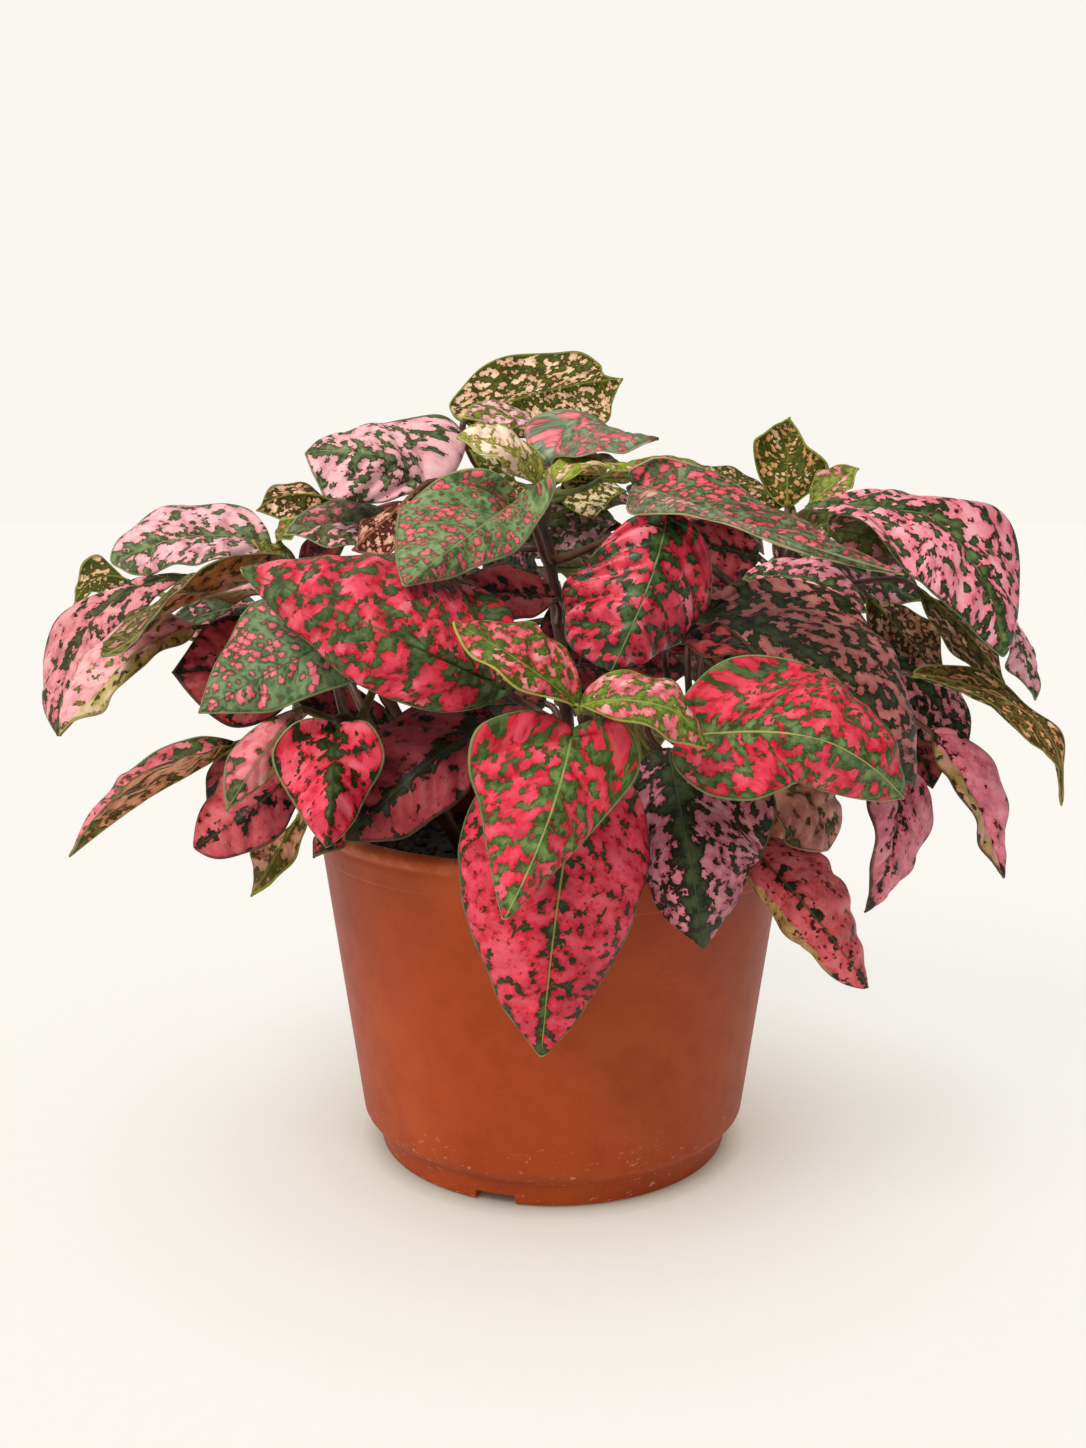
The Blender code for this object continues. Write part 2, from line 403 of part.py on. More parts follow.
# Full-grown leaves, each on its own petiole; foot is how far up its stem it grows.
LEAVES = [
    leaf("leaf_front_low", "front", 0.75, "ovate", "red",
         (6, -74, 111), [(1, -84, 90)], (-3, -74, 49), [(13, -73, 109), (18, -72, 102), (19, -72, 91), (17, -72, 80), (10, -73, 65), (3, -73, 55)],
         [(-11, -74, 110), (-17, -74, 103), (-20, -74, 95), (-20, -74, 89), (-18, -74, 78), (-12, -74, 62)], camber=22, wave=0.5),
    leaf("leaf_front_heart", "front", 0.90, "heart", "redgreen",
         (3, -84, 119), [(-2, -98, 104)], (-10, -98, 86), [(7, -85, 122), (13, -86, 122), (16, -86, 116), (15, -86, 110), (7, -89, 101), (-2, -94, 92)],
         [(-1, -86, 123), (-7, -88, 124), (-15, -90, 121), (-17, -90, 114), (-15, -91, 107), (-13, -93, 96)], camber=16, wave=0.8),
    leaf("leaf_centre_hanging", "centre", 0.84, "heart", "red",
         (25, -36, 160), [(20, -52, 146)], (12, -54, 128), [(30, -37, 160), (34, -38, 154), (35, -38, 147), (33, -39, 139), (25, -44, 132)],
         [(19, -38, 159), (10, -40, 154), (3, -42, 146), (2, -42, 140), (4, -45, 133)], camber=20, wave=0.8),
    leaf("leaf_left_large", "front", 0.75, "ovate", "red",
         (-11, -62, 125), [(-33, -76, 138)], (-67, -54, 150), [(-16, -66, 122), (-26, -70, 122), (-36, -69, 125), (-48, -65, 132), (-60, -59, 142)],
         [(-8, -56, 133), (-12, -51, 143), (-25, -48, 149), (-38, -49, 153), (-53, -51, 152), (-62, -53, 151)], camber=14, wave=0.5),
    leaf("leaf_left_green", "left", 0.90, "ovate", "green",
         (-38, -36, 138), [(-55, -52, 131)], (-77, -55, 119), [(-41, -51, 128), (-49, -56, 124), (-59, -56, 120), (-69, -55, 119)],
         [(-50, -40, 142), (-65, -42, 143), (-73, -45, 133), (-76, -51, 124)], camber=10),
    leaf("leaf_centre_heart_green", "centre", 0.84, "heart", "green",
         (-9, -38, 164), [(-21, -58, 155)], (-31, -68, 147), [(-5, -44, 166), (0, -49, 169), (0, -50, 165), (-5, -51, 157), (-14, -56, 151), (-24, -62, 148)],
         [(-10, -40, 168), (-16, -43, 171), (-25, -44, 169), (-33, -48, 163), (-34, -55, 156), (-33, -62, 151)], camber=16),
    leaf("leaf_back_pale_left", "centre", 0.88, "ovate", "pale",
         (-31, -2, 166), [(-43, -8, 175)], (-61, -5, 176), [(-36, -7, 166), (-42, -10, 164), (-49, -12, 164), (-55, -11, 165), (-58, -9, 170), (-60, -7, 174)],
         [(-25, 5, 172), (-23, 10, 180), (-29, 12, 186), (-39, 10, 185), (-51, 4, 182), (-58, -2, 179)], camber=12),
    leaf("leaf_left_grey", "left_back", 0.80, "lance", "pale",
         (-39, 2, 158), [(-53, -2, 159)], (-67, -4, 156), (-50, -14, 153),
         (-54, 12, 165)),
    leaf("leaf_brown_under", "centre", 0.94, "lance", "olive",
         (-32, -20, 167), [(-39, -24, 160)], (-47, -26, 153), (-45, -18, 160),
         (-35, -30, 154)),
    leaf("leaf_top_back", "back", 0.97, "ovate", "olive",
         (-23, 28, 186), [(-2, 38, 194)], (19, 32, 197), [(-14, 28, 182), (-1, 28, 182), (10, 29, 183), (15, 30, 186), (16, 31, 191)],
         [(-28, 34, 190), (-25, 41, 196), (-19, 48, 202), (-6, 52, 206), (6, 48, 206), (13, 42, 202), (14, 38, 199)], camber=20),
    leaf("leaf_top_right_green", "centre", 0.97, "heart", "greenred",
         (0, -4, 173), [(7, -12, 178)], (25, -14, 179), [(-5, -1, 178), (-7, 1, 181), (-5, 3, 185), (2, 4, 187), (9, 2, 186), (15, -2, 182), (21, -9, 180)],
         [(1, -13, 175), (5, -24, 175), (11, -23, 175), (17, -20, 176), (21, -17, 177)], camber=15),
    leaf("leaf_right_long", "right_back", 0.75, "ovate", "greenred",
         (19, -24, 168), [(32, -44, 163), (50, -56, 156)], (73, -60, 149), [(17, -25, 171), (20, -27, 173), (26, -29, 174), (41, -32, 168), (53, -36, 161), (64, -47, 154)],
         [(17, -31, 165), (17, -37, 161), (24, -48, 162), (35, -56, 159), (47, -57, 155), (61, -58, 151)], camber=12),
    leaf("leaf_right_large", "right_back", 0.86, "ovate", "pink",
         (64, 6, 162), [(84, 0, 163), (98, 0, 158), (108, -4, 143)], (112, -6, 126), [(73, 10, 166), (86, 14, 167), (101, 17, 165), (115, 18, 163), (121, 16, 156), (121, 10, 143), (117, 1, 132)],
         [(70, -7, 161), (75, -15, 159), (80, -20, 152), (87, -19, 145), (97, -15, 138), (106, -9, 130)], camber=14, wave=0.5),
    leaf("leaf_right_upright", "right_back", 0.90, "ovate", "olive",
         (63, 26, 163), [(64, 34, 175)], (67, 50, 188), [(69, 26, 167), (73, 26, 170), (73, 26, 175), (69, 31, 179), (68, 41, 184)],
         [(59, 28, 166), (55, 31, 173), (54, 32, 180), (59, 37, 184)]),
    leaf("leaf_right_big", "right", 0.97, "ovate", "red",
         (29, -66, 116), [(45, -88, 120), (57, -88, 116)], (70, -78, 105), [(24, -66, 118), (28, -66, 126), (36, -66, 132), (47, -66, 132), (59, -67, 127), (67, -71, 119), (70, -75, 110)],
         [(24, -74, 112), (29, -81, 107), (37, -84, 106), (44, -84, 108), (48, -83, 109), (54, -82, 107), (63, -80, 105)], camber=20, wave=0.5),
    leaf("leaf_right_low_mauve", "right", 0.80, "ovate", "mauve",
         (25, -50, 110), [(27, -76, 94)], (31, -72, 72), [(38, -50, 107), (46, -56, 103), (47, -60, 97), (44, -61, 88), (37, -66, 79)],
         [(20, -51, 108), (14, -57, 100), (16, -64, 92), (19, -65, 84), (24, -68, 77)], camber=16),
    leaf("leaf_right_low_red", "right", 0.55, "ovate", "dusky",
         (43, -46, 88), [(54, -60, 78)], (70, -54, 57), [(48, -45, 88), (56, -44, 87), (63, -44, 82), (67, -45, 74), (69, -49, 64)],
         [(43, -48, 84), (45, -50, 79), (51, -52, 70), (59, -53, 62), (66, -53, 57)], camber=25),
    leaf("leaf_right_dry", "right", 0.50, "ovate", "brown",
         (48, -36, 97), [(57, -42, 98)], (63, -40, 85), (68, -28, 92),
         (51, -50, 90), camber=40),
    leaf("leaf_right_hang_dusky", "right_low", 0.80, "ovate", "dusky",
         (90, 4, 97), [(86, -6, 77)], (80, -6, 60), [(98, 7, 90), (100, 8, 83), (98, 7, 75), (91, 2, 66)],
         [(80, -7, 92), (80, -12, 83), (80, -10, 71)], camber=20),
    leaf("leaf_right_hang_pink", "right_low", 0.97, "ovate", "dusky",
         (100, 11, 104), [(109, 4, 88)], (118, 2, 67), [(105, 12, 105), (110, 13, 102), (119, 14, 94), (121, 12, 84), (120, 8, 75)],
         [(99, 3, 97), (102, -2, 94), (106, -6, 85), (111, -3, 75)], camber=20),
    leaf("leaf_right_far_narrow", "right_low", 0.97, "lance", "olive",
         (93, 6, 120), [(113, -2, 115), (125, -6, 105)], (129, -6, 88), [(95, 2, 120), (101, -8, 119), (110, -14, 113), (120, -12, 104), (126, -10, 98), (128, -7, 91)],
         [(97, 6, 123), (108, 6, 122), (118, 6, 117), (127, 5, 110), (131, 2, 104), (131, -2, 94)]),
    leaf("leaf_right_mid_olive", "right_back", 0.82, "lance", "olive",
         (99, 26, 141), [(112, 20, 128)], (122, 16, 113), (104, 12, 127),
         (119, 32, 131)),
    leaf("leaf_right_small_tip", "right_back", 0.95, "lance", "pink",
         (125, 38, 135), [(131, 36, 124)], (134, 31, 110), (137, 43, 121),
         (125, 28, 119)),
    leaf("leaf_right_shade", "right", 0.75, "ovate", "mauve",
         (36, -18, 138), [(60, -44, 128)], (82, -40, 100), [(39, -17, 143), (52, -16, 146), (66, -16, 143), (78, -18, 133), (84, -25, 120), (84, -33, 108)],
         (46, -52, 118), camber=16),
    leaf("leaf_right_pink_back", "right", 0.60, "ovate", "pink",
         (49, 5, 145), [(65, -6, 145)], (78, -6, 137), (66, 8, 150),
         (60, -14, 138)),
    leaf("leaf_left_low_red", "left", 0.62, "ovate", "dusky",
         (-55, -36, 106), [(-66, -52, 98)], (-80, -50, 88), [(-57, -48, 98), (-61, -52, 91), (-69, -52, 87), (-75, -51, 86)],
         [(-61, -39, 108), (-72, -42, 106), (-77, -43, 100), (-80, -47, 93)], camber=12),
    leaf("leaf_left_heart", "left", 0.95, "heart", "red",
         (-48, -52, 115), [(-46, -70, 106)], (-47, -74, 94), [(-44, -55, 117), (-39, -60, 117), (-36, -62, 111), (-39, -64, 104), (-43, -69, 97)],
         [(-51, -56, 118), (-56, -60, 117), (-60, -62, 111), (-57, -64, 104), (-52, -69, 98)], camber=14, wave=0.4),
    leaf("leaf_left_dark", "front", 0.55, "ovate", "dusky",
         (-14, -46, 117), [(-28, -58, 108)], (-45, -60, 92), [(-16, -60, 108), (-21, -64, 101), (-31, -63, 94), (-39, -61, 92)],
         [(-19, -44, 120), (-29, -42, 119), (-40, -44, 113), (-45, -52, 101)], camber=14),
    leaf("leaf_left_narrow_pink", "left", 0.97, "ovate", "pink",
         (-56, -50, 119), [(-63, -60, 110)], (-70, -62, 99), (-60, -54, 107),
         (-69, -57, 112)),
    leaf("leaf_left_far_narrow", "left", 0.84, "lance", "redgreen",
         (-76, -23, 107), [(-83, -32, 103), (-94, -44, 97)], (-111, -42, 84), [(-78, -38, 108), (-82, -51, 109), (-88, -58, 107), (-95, -56, 101), (-103, -50, 94)],
         [(-81, -26, 109), (-86, -28, 109), (-95, -30, 106), (-104, -32, 98), (-108, -36, 92)], camber=5, wave=0.5),
    leaf("leaf_left_low_under", "left", 0.50, "lance", "olive",
         (-61, -22, 90), [(-66, -28, 81)], (-73, -26, 70), (-75, -22, 78),
         (-61, -30, 82)),
    leaf("leaf_centre_dusky", "centre", 0.70, "ovate", "dusky",
         (0, -28, 142), [(-11, -38, 144)], (-25, -44, 144), (-12, -46, 138),
         (-11, -32, 150)),
    leaf("leaf_left_pale_back", "left_back", 0.97, "ovate", "pale",
         (-77, 30, 153), [(-98, 26, 155)], (-117, 20, 148), [(-82, 18, 149), (-90, 12, 149), (-101, 14, 147), (-110, 17, 145), (-115, 19, 147)],
         [(-82, 35, 161), (-91, 39, 164), (-101, 40, 164), (-111, 36, 161), (-116, 29, 156), (-118, 23, 151)], camber=16),
    leaf("leaf_left_far_large", "left_back", 0.97, "ovate", "mauve",
         (-97, 16, 145), [(-119, 8, 134)], (-127, 0, 105), (-107, -6, 123),
         [(-106, 16, 145), (-118, 16, 141), (-129, 16, 135), (-135, 16, 124), (-135, 13, 115), (-131, 6, 108)], camber=14),
    leaf("leaf_left_folded_pale", "left_back", 0.90, "ovate", "palepink",
         (-87, -14, 134), [(-98, -18, 130), (-106, -22, 122)], (-118, -24, 109), [(-89, -20, 130), (-95, -26, 128), (-101, -30, 121), (-105, -29, 116), (-111, -28, 114)],
         [(-93, -8, 135), (-103, -4, 137), (-112, -6, 131), (-117, -11, 124), (-119, -16, 118)]),
    leaf("leaf_left_twisted", "left_back", 0.85, "lance", "greenred",
         (-62, -12, 147), [(-73, -26, 145), (-87, -32, 140), (-96, -34, 133)], (-104, -34, 129), [(-72, -10, 150), (-86, -9, 148), (-96, -8, 142), (-103, -15, 137), (-105, -27, 132)],
         [(-64, -24, 152), (-70, -37, 152), (-78, -44, 150), (-84, -43, 145), (-92, -40, 136), (-98, -37, 131)], camber=5),
    leaf("leaf_left_sliver", "left", 0.76, "lance", "palepink",
         (-70, -8, 142), [(-81, -6, 142)], (-91, -6, 140), (-79, -14, 140),
         (-82, 4, 143)),
    leaf("leaf_left_shade_red", "left", 0.92, "ovate", "dusky",
         (-59, -14, 127), [(-74, -26, 126)], (-89, -30, 125), (-74, -32, 112),
         (-79, -18, 137), camber=15),
    leaf("leaf_right_back_shade", "right_back", 0.90, "ovate", "olive",
         (88, 36, 138), [(99, 36, 126)], (110, 34, 114), (92, 26, 120),
         (110, 46, 129)),
    leaf("leaf_right_back_mauve", "right_low", 0.97, "ovate", "mauve",
         (92, 26, 122), [(104, 25, 111)], (114, 25, 98), (115, 36, 112),
         (97, 16, 103)),
    leaf("leaf_mid_back_pale", "back", 0.80, "ovate", "pale",
         (17, 40, 159), [(3, 34, 157)], (-10, 30, 149), (7, 24, 149),
         (1, 46, 164)),
    leaf("leaf_back_high", "back", 0.70, "ovate", "pale",
         (2, 33, 150), [(5, 67, 158)], (7, 98, 138), (-14, 60, 151),
         (23, 58, 151)),
    leaf("leaf_back_right_high", "back", 0.60, "ovate", "red",
         (18, 31, 142), [(34, 59, 147)], (49, 85, 126), (15, 62, 138),
         (46, 44, 144)),
    leaf("leaf_back_left_high", "back", 0.70, "ovate", "pink",
         (-26, 38, 146), [(-40, 60, 149)], (-55, 81, 130), (-51, 46, 147),
         (-23, 65, 141)),
    leaf("leaf_back_right_side", "right_back", 0.55, "ovate", "mauve",
         (40, 29, 128), [(63, 46, 129)], (84, 61, 106), (48, 56, 125),
         (68, 28, 125)),
    leaf("leaf_back_left_side", "left_back", 0.55, "ovate", "greenred",
         (-38, 30, 122), [(-58, 46, 120)], (-77, 60, 98), (-64, 28, 117),
         (-43, 55, 117)),
    leaf("leaf_back_low", "back", 0.35, "ovate", "dusky",
         (12, 36, 112), [(23, 70, 106)], (30, 93, 76), (2, 65, 104),
         (36, 53, 104)),
    leaf("leaf_back_left_mid", "back", 0.50, "ovate", "red",
         (-10, 37, 124), [(-19, 67, 120)], (-26, 92, 92), (-33, 54, 117),
         (-1, 64, 117)),
    leaf("leaf_back_right_low", "right_low", 0.35, "ovate", "red",
         (28, 34, 104), [(48, 57, 98)], (62, 74, 68), (29, 61, 96),
         (55, 39, 96)),
    leaf("leaf_back_left_low", "left_back", 0.30, "ovate", "dusky",
         (-29, 30, 98), [(-51, 53, 90)], (-65, 68, 62), (-56, 33, 89),
         (-31, 57, 89)),
]

# Young leaves near the shoot tips, grown in one with their stem.
YOUNG = [
    leaf("young_front_young_left", "front", 0.95, "ovate", "young",
         (4, -86, 125), [(-7, -90, 134)], (-20, -84, 141), [(-1, -91, 127), (-8, -94, 130), (-13, -92, 133), (-18, -88, 137)],
         [(4, -83, 130), (1, -81, 136), (-4, -80, 140), (-11, -81, 141), (-16, -82, 141)]),
    leaf("young_front_young_right", "front", 0.95, "ovate", "youngpink",
         (5, -86, 125), [(12, -92, 127), (22, -93, 125)], (29, -88, 117), [(6, -85, 128), (10, -85, 131), (18, -84, 131), (24, -85, 128), (27, -86, 122)],
         [(9, -92, 124), (15, -96, 123), (23, -93, 119)]),
    leaf("young_left_back_under", "left_back", 0.90, "ovate", "olive",
         (-57, 22, 164), [(-68, 18, 166)], (-77, 14, 162), (-71, 28, 170),
         (-67, 8, 159), camber=25),
    leaf("young_top_young_left", "centre", 0.99, "ovate", "young",
         (-4, -12, 168), [(-11, -20, 176)], (-23, -18, 179), [(-8, -20, 170), (-13, -26, 173), (-18, -23, 176)],
         [(-3, -12, 173), (-6, -12, 178), (-12, -12, 182), (-16, -13, 183), (-21, -16, 181)]),
    leaf("young_top_young_back", "back", 0.97, "lance", "youngpink",
         (-2, 20, 183), [(-12, 14, 186)], (-23, 8, 185), (-13, 6, 182),
         (-15, 24, 190)),
    leaf("young_top_young_right", "centre", 0.95, "ovate", "young",
         (-2, -12, 170), [(9, -20, 173)], (22, -20, 171), [(0, -12, 173), (6, -12, 176), (12, -13, 175), (17, -16, 173)],
         [(0, -22, 169), (4, -30, 170), (10, -28, 172), (16, -24, 171)]),
    leaf("young_right_tip_pale", "right_back", 0.99, "ovate", "youngpink",
         (67, 14, 164), [(73, 16, 169)], (80, 18, 173), (73, 22, 174),
         (75, 10, 166)),
    leaf("young_right_back_olive", "right_back", 0.97, "lance", "olive",
         (63, 30, 164), [(51, 34, 169)], (37, 38, 176), (54, 46, 173),
         (48, 22, 164)),
    leaf("young_right_narrow_red", "right", 0.80, "lance", "dusky",
         (27, -30, 132), [(36, -40, 133)], (46, -46, 130), (35, -32, 137),
         (32, -48, 131)),
    leaf("young_left_tiny_olive", "left_back", 0.97, "ovate", "olive",
         (-119, 42, 142), [(-127, 40, 143)], (-133, 36, 136), [(-125, 45, 147), (-129, 46, 150), (-133, 45, 147), (-134, 42, 142)],
         [(-122, 36, 140), (-126, 34, 140), (-131, 35, 137)]),
    leaf("young_left_back_glow", "back", 0.90, "lance", "olive",
         (-7, 16, 167), [(-15, 18, 173)], (-22, 20, 178), (-14, 26, 176),
         (-14, 10, 167)),
    leaf("young_mid_back_glow", "back", 0.90, "ovate", "olive",
         (2, 22, 165), [(11, 26, 168)], (20, 28, 167), (12, 14, 161),
         (12, 36, 174)),
    leaf("young_left_curl_up", "left_back", 0.95, "lance", "young",
         (-70, 10, 153), [(-69, 6, 157)], (-62, 4, 161), (-71, 10, 158),
         (-65, 0, 156)),
    leaf("young_left_curl_low", "left_back", 0.95, "ovate", "youngpink",
         (-69, 10, 152), [(-73, 4, 152)], (-76, 2, 155), (-72, 0, 150),
         (-74, 8, 154)),
    leaf("young_left_peek", "left", 0.70, "lance", "dusky",
         (-43, -46, 99), [(-49, -52, 92)], (-53, -55, 87), (-46, -54, 90),
         (-52, -46, 93)),
    leaf("young_inner_right_red", "right_back", 0.85, "ovate", "dusky",
         (55, 24, 150), [(43, 20, 153)], (31, 16, 157), (42, 12, 142),
         (46, 28, 160), camber=8),
    leaf("young_inner_right_high", "right_back", 0.78, "ovate", "mauve",
         (72, 14, 156), [(79, 12, 156)], (89, 8, 151), (81, 18, 162),
         (77, 8, 149), camber=8),
    leaf("young_inner_right_mid", "right_back", 0.70, "ovate", "pink",
         (81, 50, 147), [(93, 54, 143)], (108, 54, 136), (98, 60, 150),
         (90, 46, 135), camber=8),
    leaf("young_inner_left_high", "left_back", 0.95, "ovate", "dusky",
         (-67, 20, 149), [(-62, 20, 152)], (-55, 20, 154), (-63, 26, 157),
         (-59, 14, 148), camber=6),
    leaf("young_inner_centre_right", "centre", 0.50, "ovate", "dusky",
         (7, 2, 123), [(19, 6, 122)], (36, 8, 121), (20, 12, 130),
         (20, 0, 114), camber=8),
    leaf("young_inner_centre_left", "centre", 0.40, "ovate", "dusky",
         (-2, 4, 113), [(-18, 8, 112)], (-38, 8, 110), (-19, 2, 103),
         (-18, 14, 120), camber=8),
    leaf("young_inner_left_low", "left_back", 0.40, "ovate", "dusky",
         (-42, 14, 106), [(-54, 12, 109)], (-67, 8, 113), (-54, 6, 103),
         (-54, 18, 115), camber=8),
    leaf("young_inner_centre_high", "centre", 0.75, "ovate", "mauve",
         (-4, 4, 147), [(-10, 8, 148)], (-16, 10, 150), (-10, 2, 142),
         (-10, 12, 154), camber=6),
    leaf("young_inner_right_low", "right_low", 0.75, "ovate", "dusky",
         (96, 38, 106), [(103, 38, 96)], (108, 36, 84), (112, 44, 97),
         (95, 32, 92), camber=8),
    leaf("young_inner_left_side", "left", 0.66, "ovate", "dusky",
         (-71, -16, 104), [(-78, -16, 99)], (-85, -18, 92), (-74, -22, 94),
         (-83, -10, 103), camber=6),
    leaf("young_inner_left_pale", "left_back", 0.80, "ovate", "pink",
         (-77, 8, 138), [(-88, 6, 136)], (-100, 4, 131), (-88, 0, 130),
         (-90, 12, 141), camber=8),
    leaf("young_back_young_mid", "back", 0.95, "ovate", "young",
         (3, 22, 172), [(6, 40, 180)], (8, 57, 176), (-5, 37, 173),
         (15, 35, 173)),
    leaf("young_back_young_left", "back", 0.90, "ovate", "youngpink",
         (-21, 12, 168), [(-36, 21, 174)], (-52, 30, 168), (-38, 11, 168),
         (-28, 28, 168)),
    leaf("young_back_young_right", "back", 0.97, "ovate", "young",
         (12, 7, 170), [(30, 16, 176)], (46, 24, 168), (21, 23, 170),
         (31, 4, 170)),
    leaf("young_rear_upper_right", "back", 0.75, "ovate", "red",
         (25, 26, 153), [(43, 45, 162)], (63, 65, 149), (30, 52, 155),
         (50, 31, 155)),
    leaf("young_rear_upper_left", "back", 0.80, "ovate", "red",
         (-25, 20, 158), [(-41, 32, 164)], (-58, 46, 154), (-46, 20, 160),
         (-30, 40, 156)),
    leaf("young_rear_crown", "back", 0.85, "ovate", "pale",
         (6, 35, 165), [(10, 55, 170)], (14, 79, 160), (-4, 55, 164),
         (23, 50, 164)),
    leaf("young_rear_crown_left", "back", 0.80, "ovate", "greenred",
         (-18, 36, 161), [(-26, 54, 164)], (-38, 77, 150), (-38, 46, 159),
         (-13, 59, 159)),
    leaf("young_rear_mid_right", "back", 0.45, "ovate", "dusky",
         (24, 34, 123), [(40, 57, 123)], (56, 80, 101), (25, 61, 119),
         (49, 44, 119)),
    leaf("young_rear_mid_left", "back", 0.55, "ovate", "mauve",
         (-23, 35, 131), [(-39, 58, 133)], (-54, 80, 112), (-47, 45, 128),
         (-24, 61, 128)),
    leaf("young_rear_low_left", "back", 0.25, "ovate", "red",
         (-9, 39, 99), [(-16, 68, 92)], (-21, 90, 64), (-29, 56, 90),
         (1, 63, 90)),
]


# ---------------------------------------------------------------------------
# Scene helpers
# ---------------------------------------------------------------------------
for old in list(bpy.data.objects):
    bpy.data.objects.remove(old, do_unlink=True)

PARTS = bpy.data.collections.new("potted_polka_dot_plant")
CUTTERS = bpy.data.collections.new("cutters")
for group in (PARTS, CUTTERS):
    bpy.context.scene.collection.children.link(group)


def material(kind):
    name = "plant_" + kind
    mat = bpy.data.materials.get(name)
    if mat is None:
        colour, rough = COLOURS[kind]
        mat = bpy.data.materials.new(name)
        mat.use_nodes = True
        mat.diffuse_color = (*colour, 1.0)
        shader = mat.node_tree.nodes["Principled BSDF"]
        shader.inputs["Base Color"].default_value = (*colour, 1.0)
        shader.inputs["Roughness"].default_value = rough
        shader.inputs["Metallic"].default_value = 0.0
    return mat


def place_object(name, mesh, group, kind=None):
    obj = bpy.data.objects.new(name, mesh)
    group.objects.link(obj)
    if kind:
        mesh.materials.clear()
        mesh.materials.append(material(kind))
    if group is CUTTERS:
        obj.hide_render = True
        obj.display_type = "WIRE"
    return obj


def boolean(obj, cutter, operation):
    mod = obj.modifiers.new(operation.lower() + "_" + cutter.name, "BOOLEAN")
    mod.operation = operation
    mod.solver = "EXACT"
    mod.object = cutter
    return mod


def turned(name, profile, group, kind=None, steps=POT_STEPS, smooth=40.0):
    """Closed solid of revolution from a profile that runs down its outer side."""
    mesh = bpy.data.meshes.new(name)
    bm = bmesh.new()
    verts = [bm.verts.new((r * MM, 0.0, z * MM)) for r, z in profile]
    for a, b in zip(verts, verts[1:]):
        bm.edges.new((a, b))
    if profile[0][0] > 1e-6:
        bm.edges.new((verts[-1], verts[0]))
    bm.to_mesh(mesh)
    bm.free()
    obj = place_object(name, mesh, group, kind)
    screw = obj.modifiers.new("turn", "SCREW")
    screw.axis = "Z"
    screw.angle = 2 * math.pi
    screw.steps = steps
    screw.render_steps = steps
    screw.use_merge_vertices = True
    screw.merge_threshold = 0.00005
    screw.use_smooth_shade = True
    return obj


def box(name, size, location, angle):
    mesh = bpy.data.meshes.new(name)
    bm = bmesh.new()
    bmesh.ops.create_cube(bm, size=1.0)
    bmesh.ops.scale(bm, vec=[s * MM for s in size], verts=bm.verts)
    bm.to_mesh(mesh)
    bm.free()
    obj = place_object(name, mesh, CUTTERS)
    obj.location = [c * MM for c in location]
    obj.rotation_euler = (0.0, 0.0, angle)
    return obj


def rod(name, radius, depth, location, segments=20):
    mesh = bpy.data.meshes.new(name)
    bm = bmesh.new()
    bmesh.ops.create_cone(bm, cap_ends=True, segments=segments, radius1=radius * MM,
                          radius2=radius * MM, depth=depth * MM)
    bm.to_mesh(mesh)
    bm.free()
    obj = place_object(name, mesh, CUTTERS)
    obj.location = [c * MM for c in location]
    return obj


def stem_mesh(name, points, r0, r1, count, grow=0.0):
    """A tapering round stem: a bevelled curve, made a mesh with welded caps."""
    curve = bpy.data.curves.new(name + "_curve", "CURVE")
    curve.dimensions = "3D"
    curve.bevel_depth = MM
    curve.bevel_resolution = 2
    curve.use_fill_caps = True
    line = curve.splines.new("POLY")
    way = spline(points, np.linspace(0.0, 1.0, count))
    if grow:
        way[0] -= unit(way[1] - way[0]) * grow
    line.points.add(count - 1)
    for k, p in enumerate(way):
        f = k / (count - 1)
        line.points[k].co = (p[0] * MM, p[1] * MM, p[2] * MM, 1.0)
        line.points[k].radius = r0 + (r1 - r0) * f + grow
    holder = bpy.data.objects.new(name + "_curve", curve)
    CUTTERS.objects.link(holder)
    bpy.context.view_layer.update()
    graph = bpy.context.evaluated_depsgraph_get()
    mesh = bpy.data.meshes.new_from_object(holder.evaluated_get(graph))
    mesh.name = name
    bm = bmesh.new()
    bm.from_mesh(mesh)
    bmesh.ops.remove_doubles(bm, verts=bm.verts, dist=0.00001)
    bmesh.ops.recalc_face_normals(bm, faces=bm.faces)
    for face in bm.faces:
        face.smooth = True
    bm.to_mesh(mesh)
    bm.free()
    bpy.data.objects.remove(holder, do_unlink=True)
    bpy.data.curves.remove(curve)
    return mesh


def leaf_mesh(row, inside):
    """One leaf with its petiole: a loft from the round petiole into the blade."""
    blade = Blade(row["J"], row["M"], row["T"], row["L"], row["R"], row["shape"], **row["opt"])
    r0, r1, points = STEMS[row["stem"]]
    rail = Rail(points)
    p, t, _ = rail.at(row["foot"] * rail.length)
    junction = np.asarray(row["J"], float)
    out = unit((junction - p) - t * float(np.dot(junction - p, t)))
    reach = r0 + (r1 - r0) * row["foot"]
    foot = p + out * (reach - 0.7 if inside else reach + FIT_GAP + 0.05)
    _, t0, b0 = blade.rail.at(0.0)
    path = stalk_path(foot, junction, t0, np.cross(b0, t0) * 1.5, out=out)
    rings, tip = leaf_rings(blade, path, 2, (0.05, 0.15, 0.27, 0.39, 0.52, 0.65, 0.77, 0.88, 0.96),
                            thick=BLADE, rib=MIDRIB)
    verts, faces = loft(rings, tip)
    mesh = bpy.data.meshes.new(row["name"])
    mesh.from_pydata([(x * MM, y * MM, z * MM) for x, y, z in verts], [], faces)
    bm = bmesh.new()
    bm.from_mesh(mesh)
    bmesh.ops.recalc_face_normals(bm, faces=bm.faces)
    bmesh.ops.triangulate(bm, faces=bm.faces)
    for face in bm.faces:
        face.smooth = True
    bm.to_mesh(mesh)
    bm.free()
    mesh.set_sharp_from_angle(angle=math.radians(60))
    return mesh


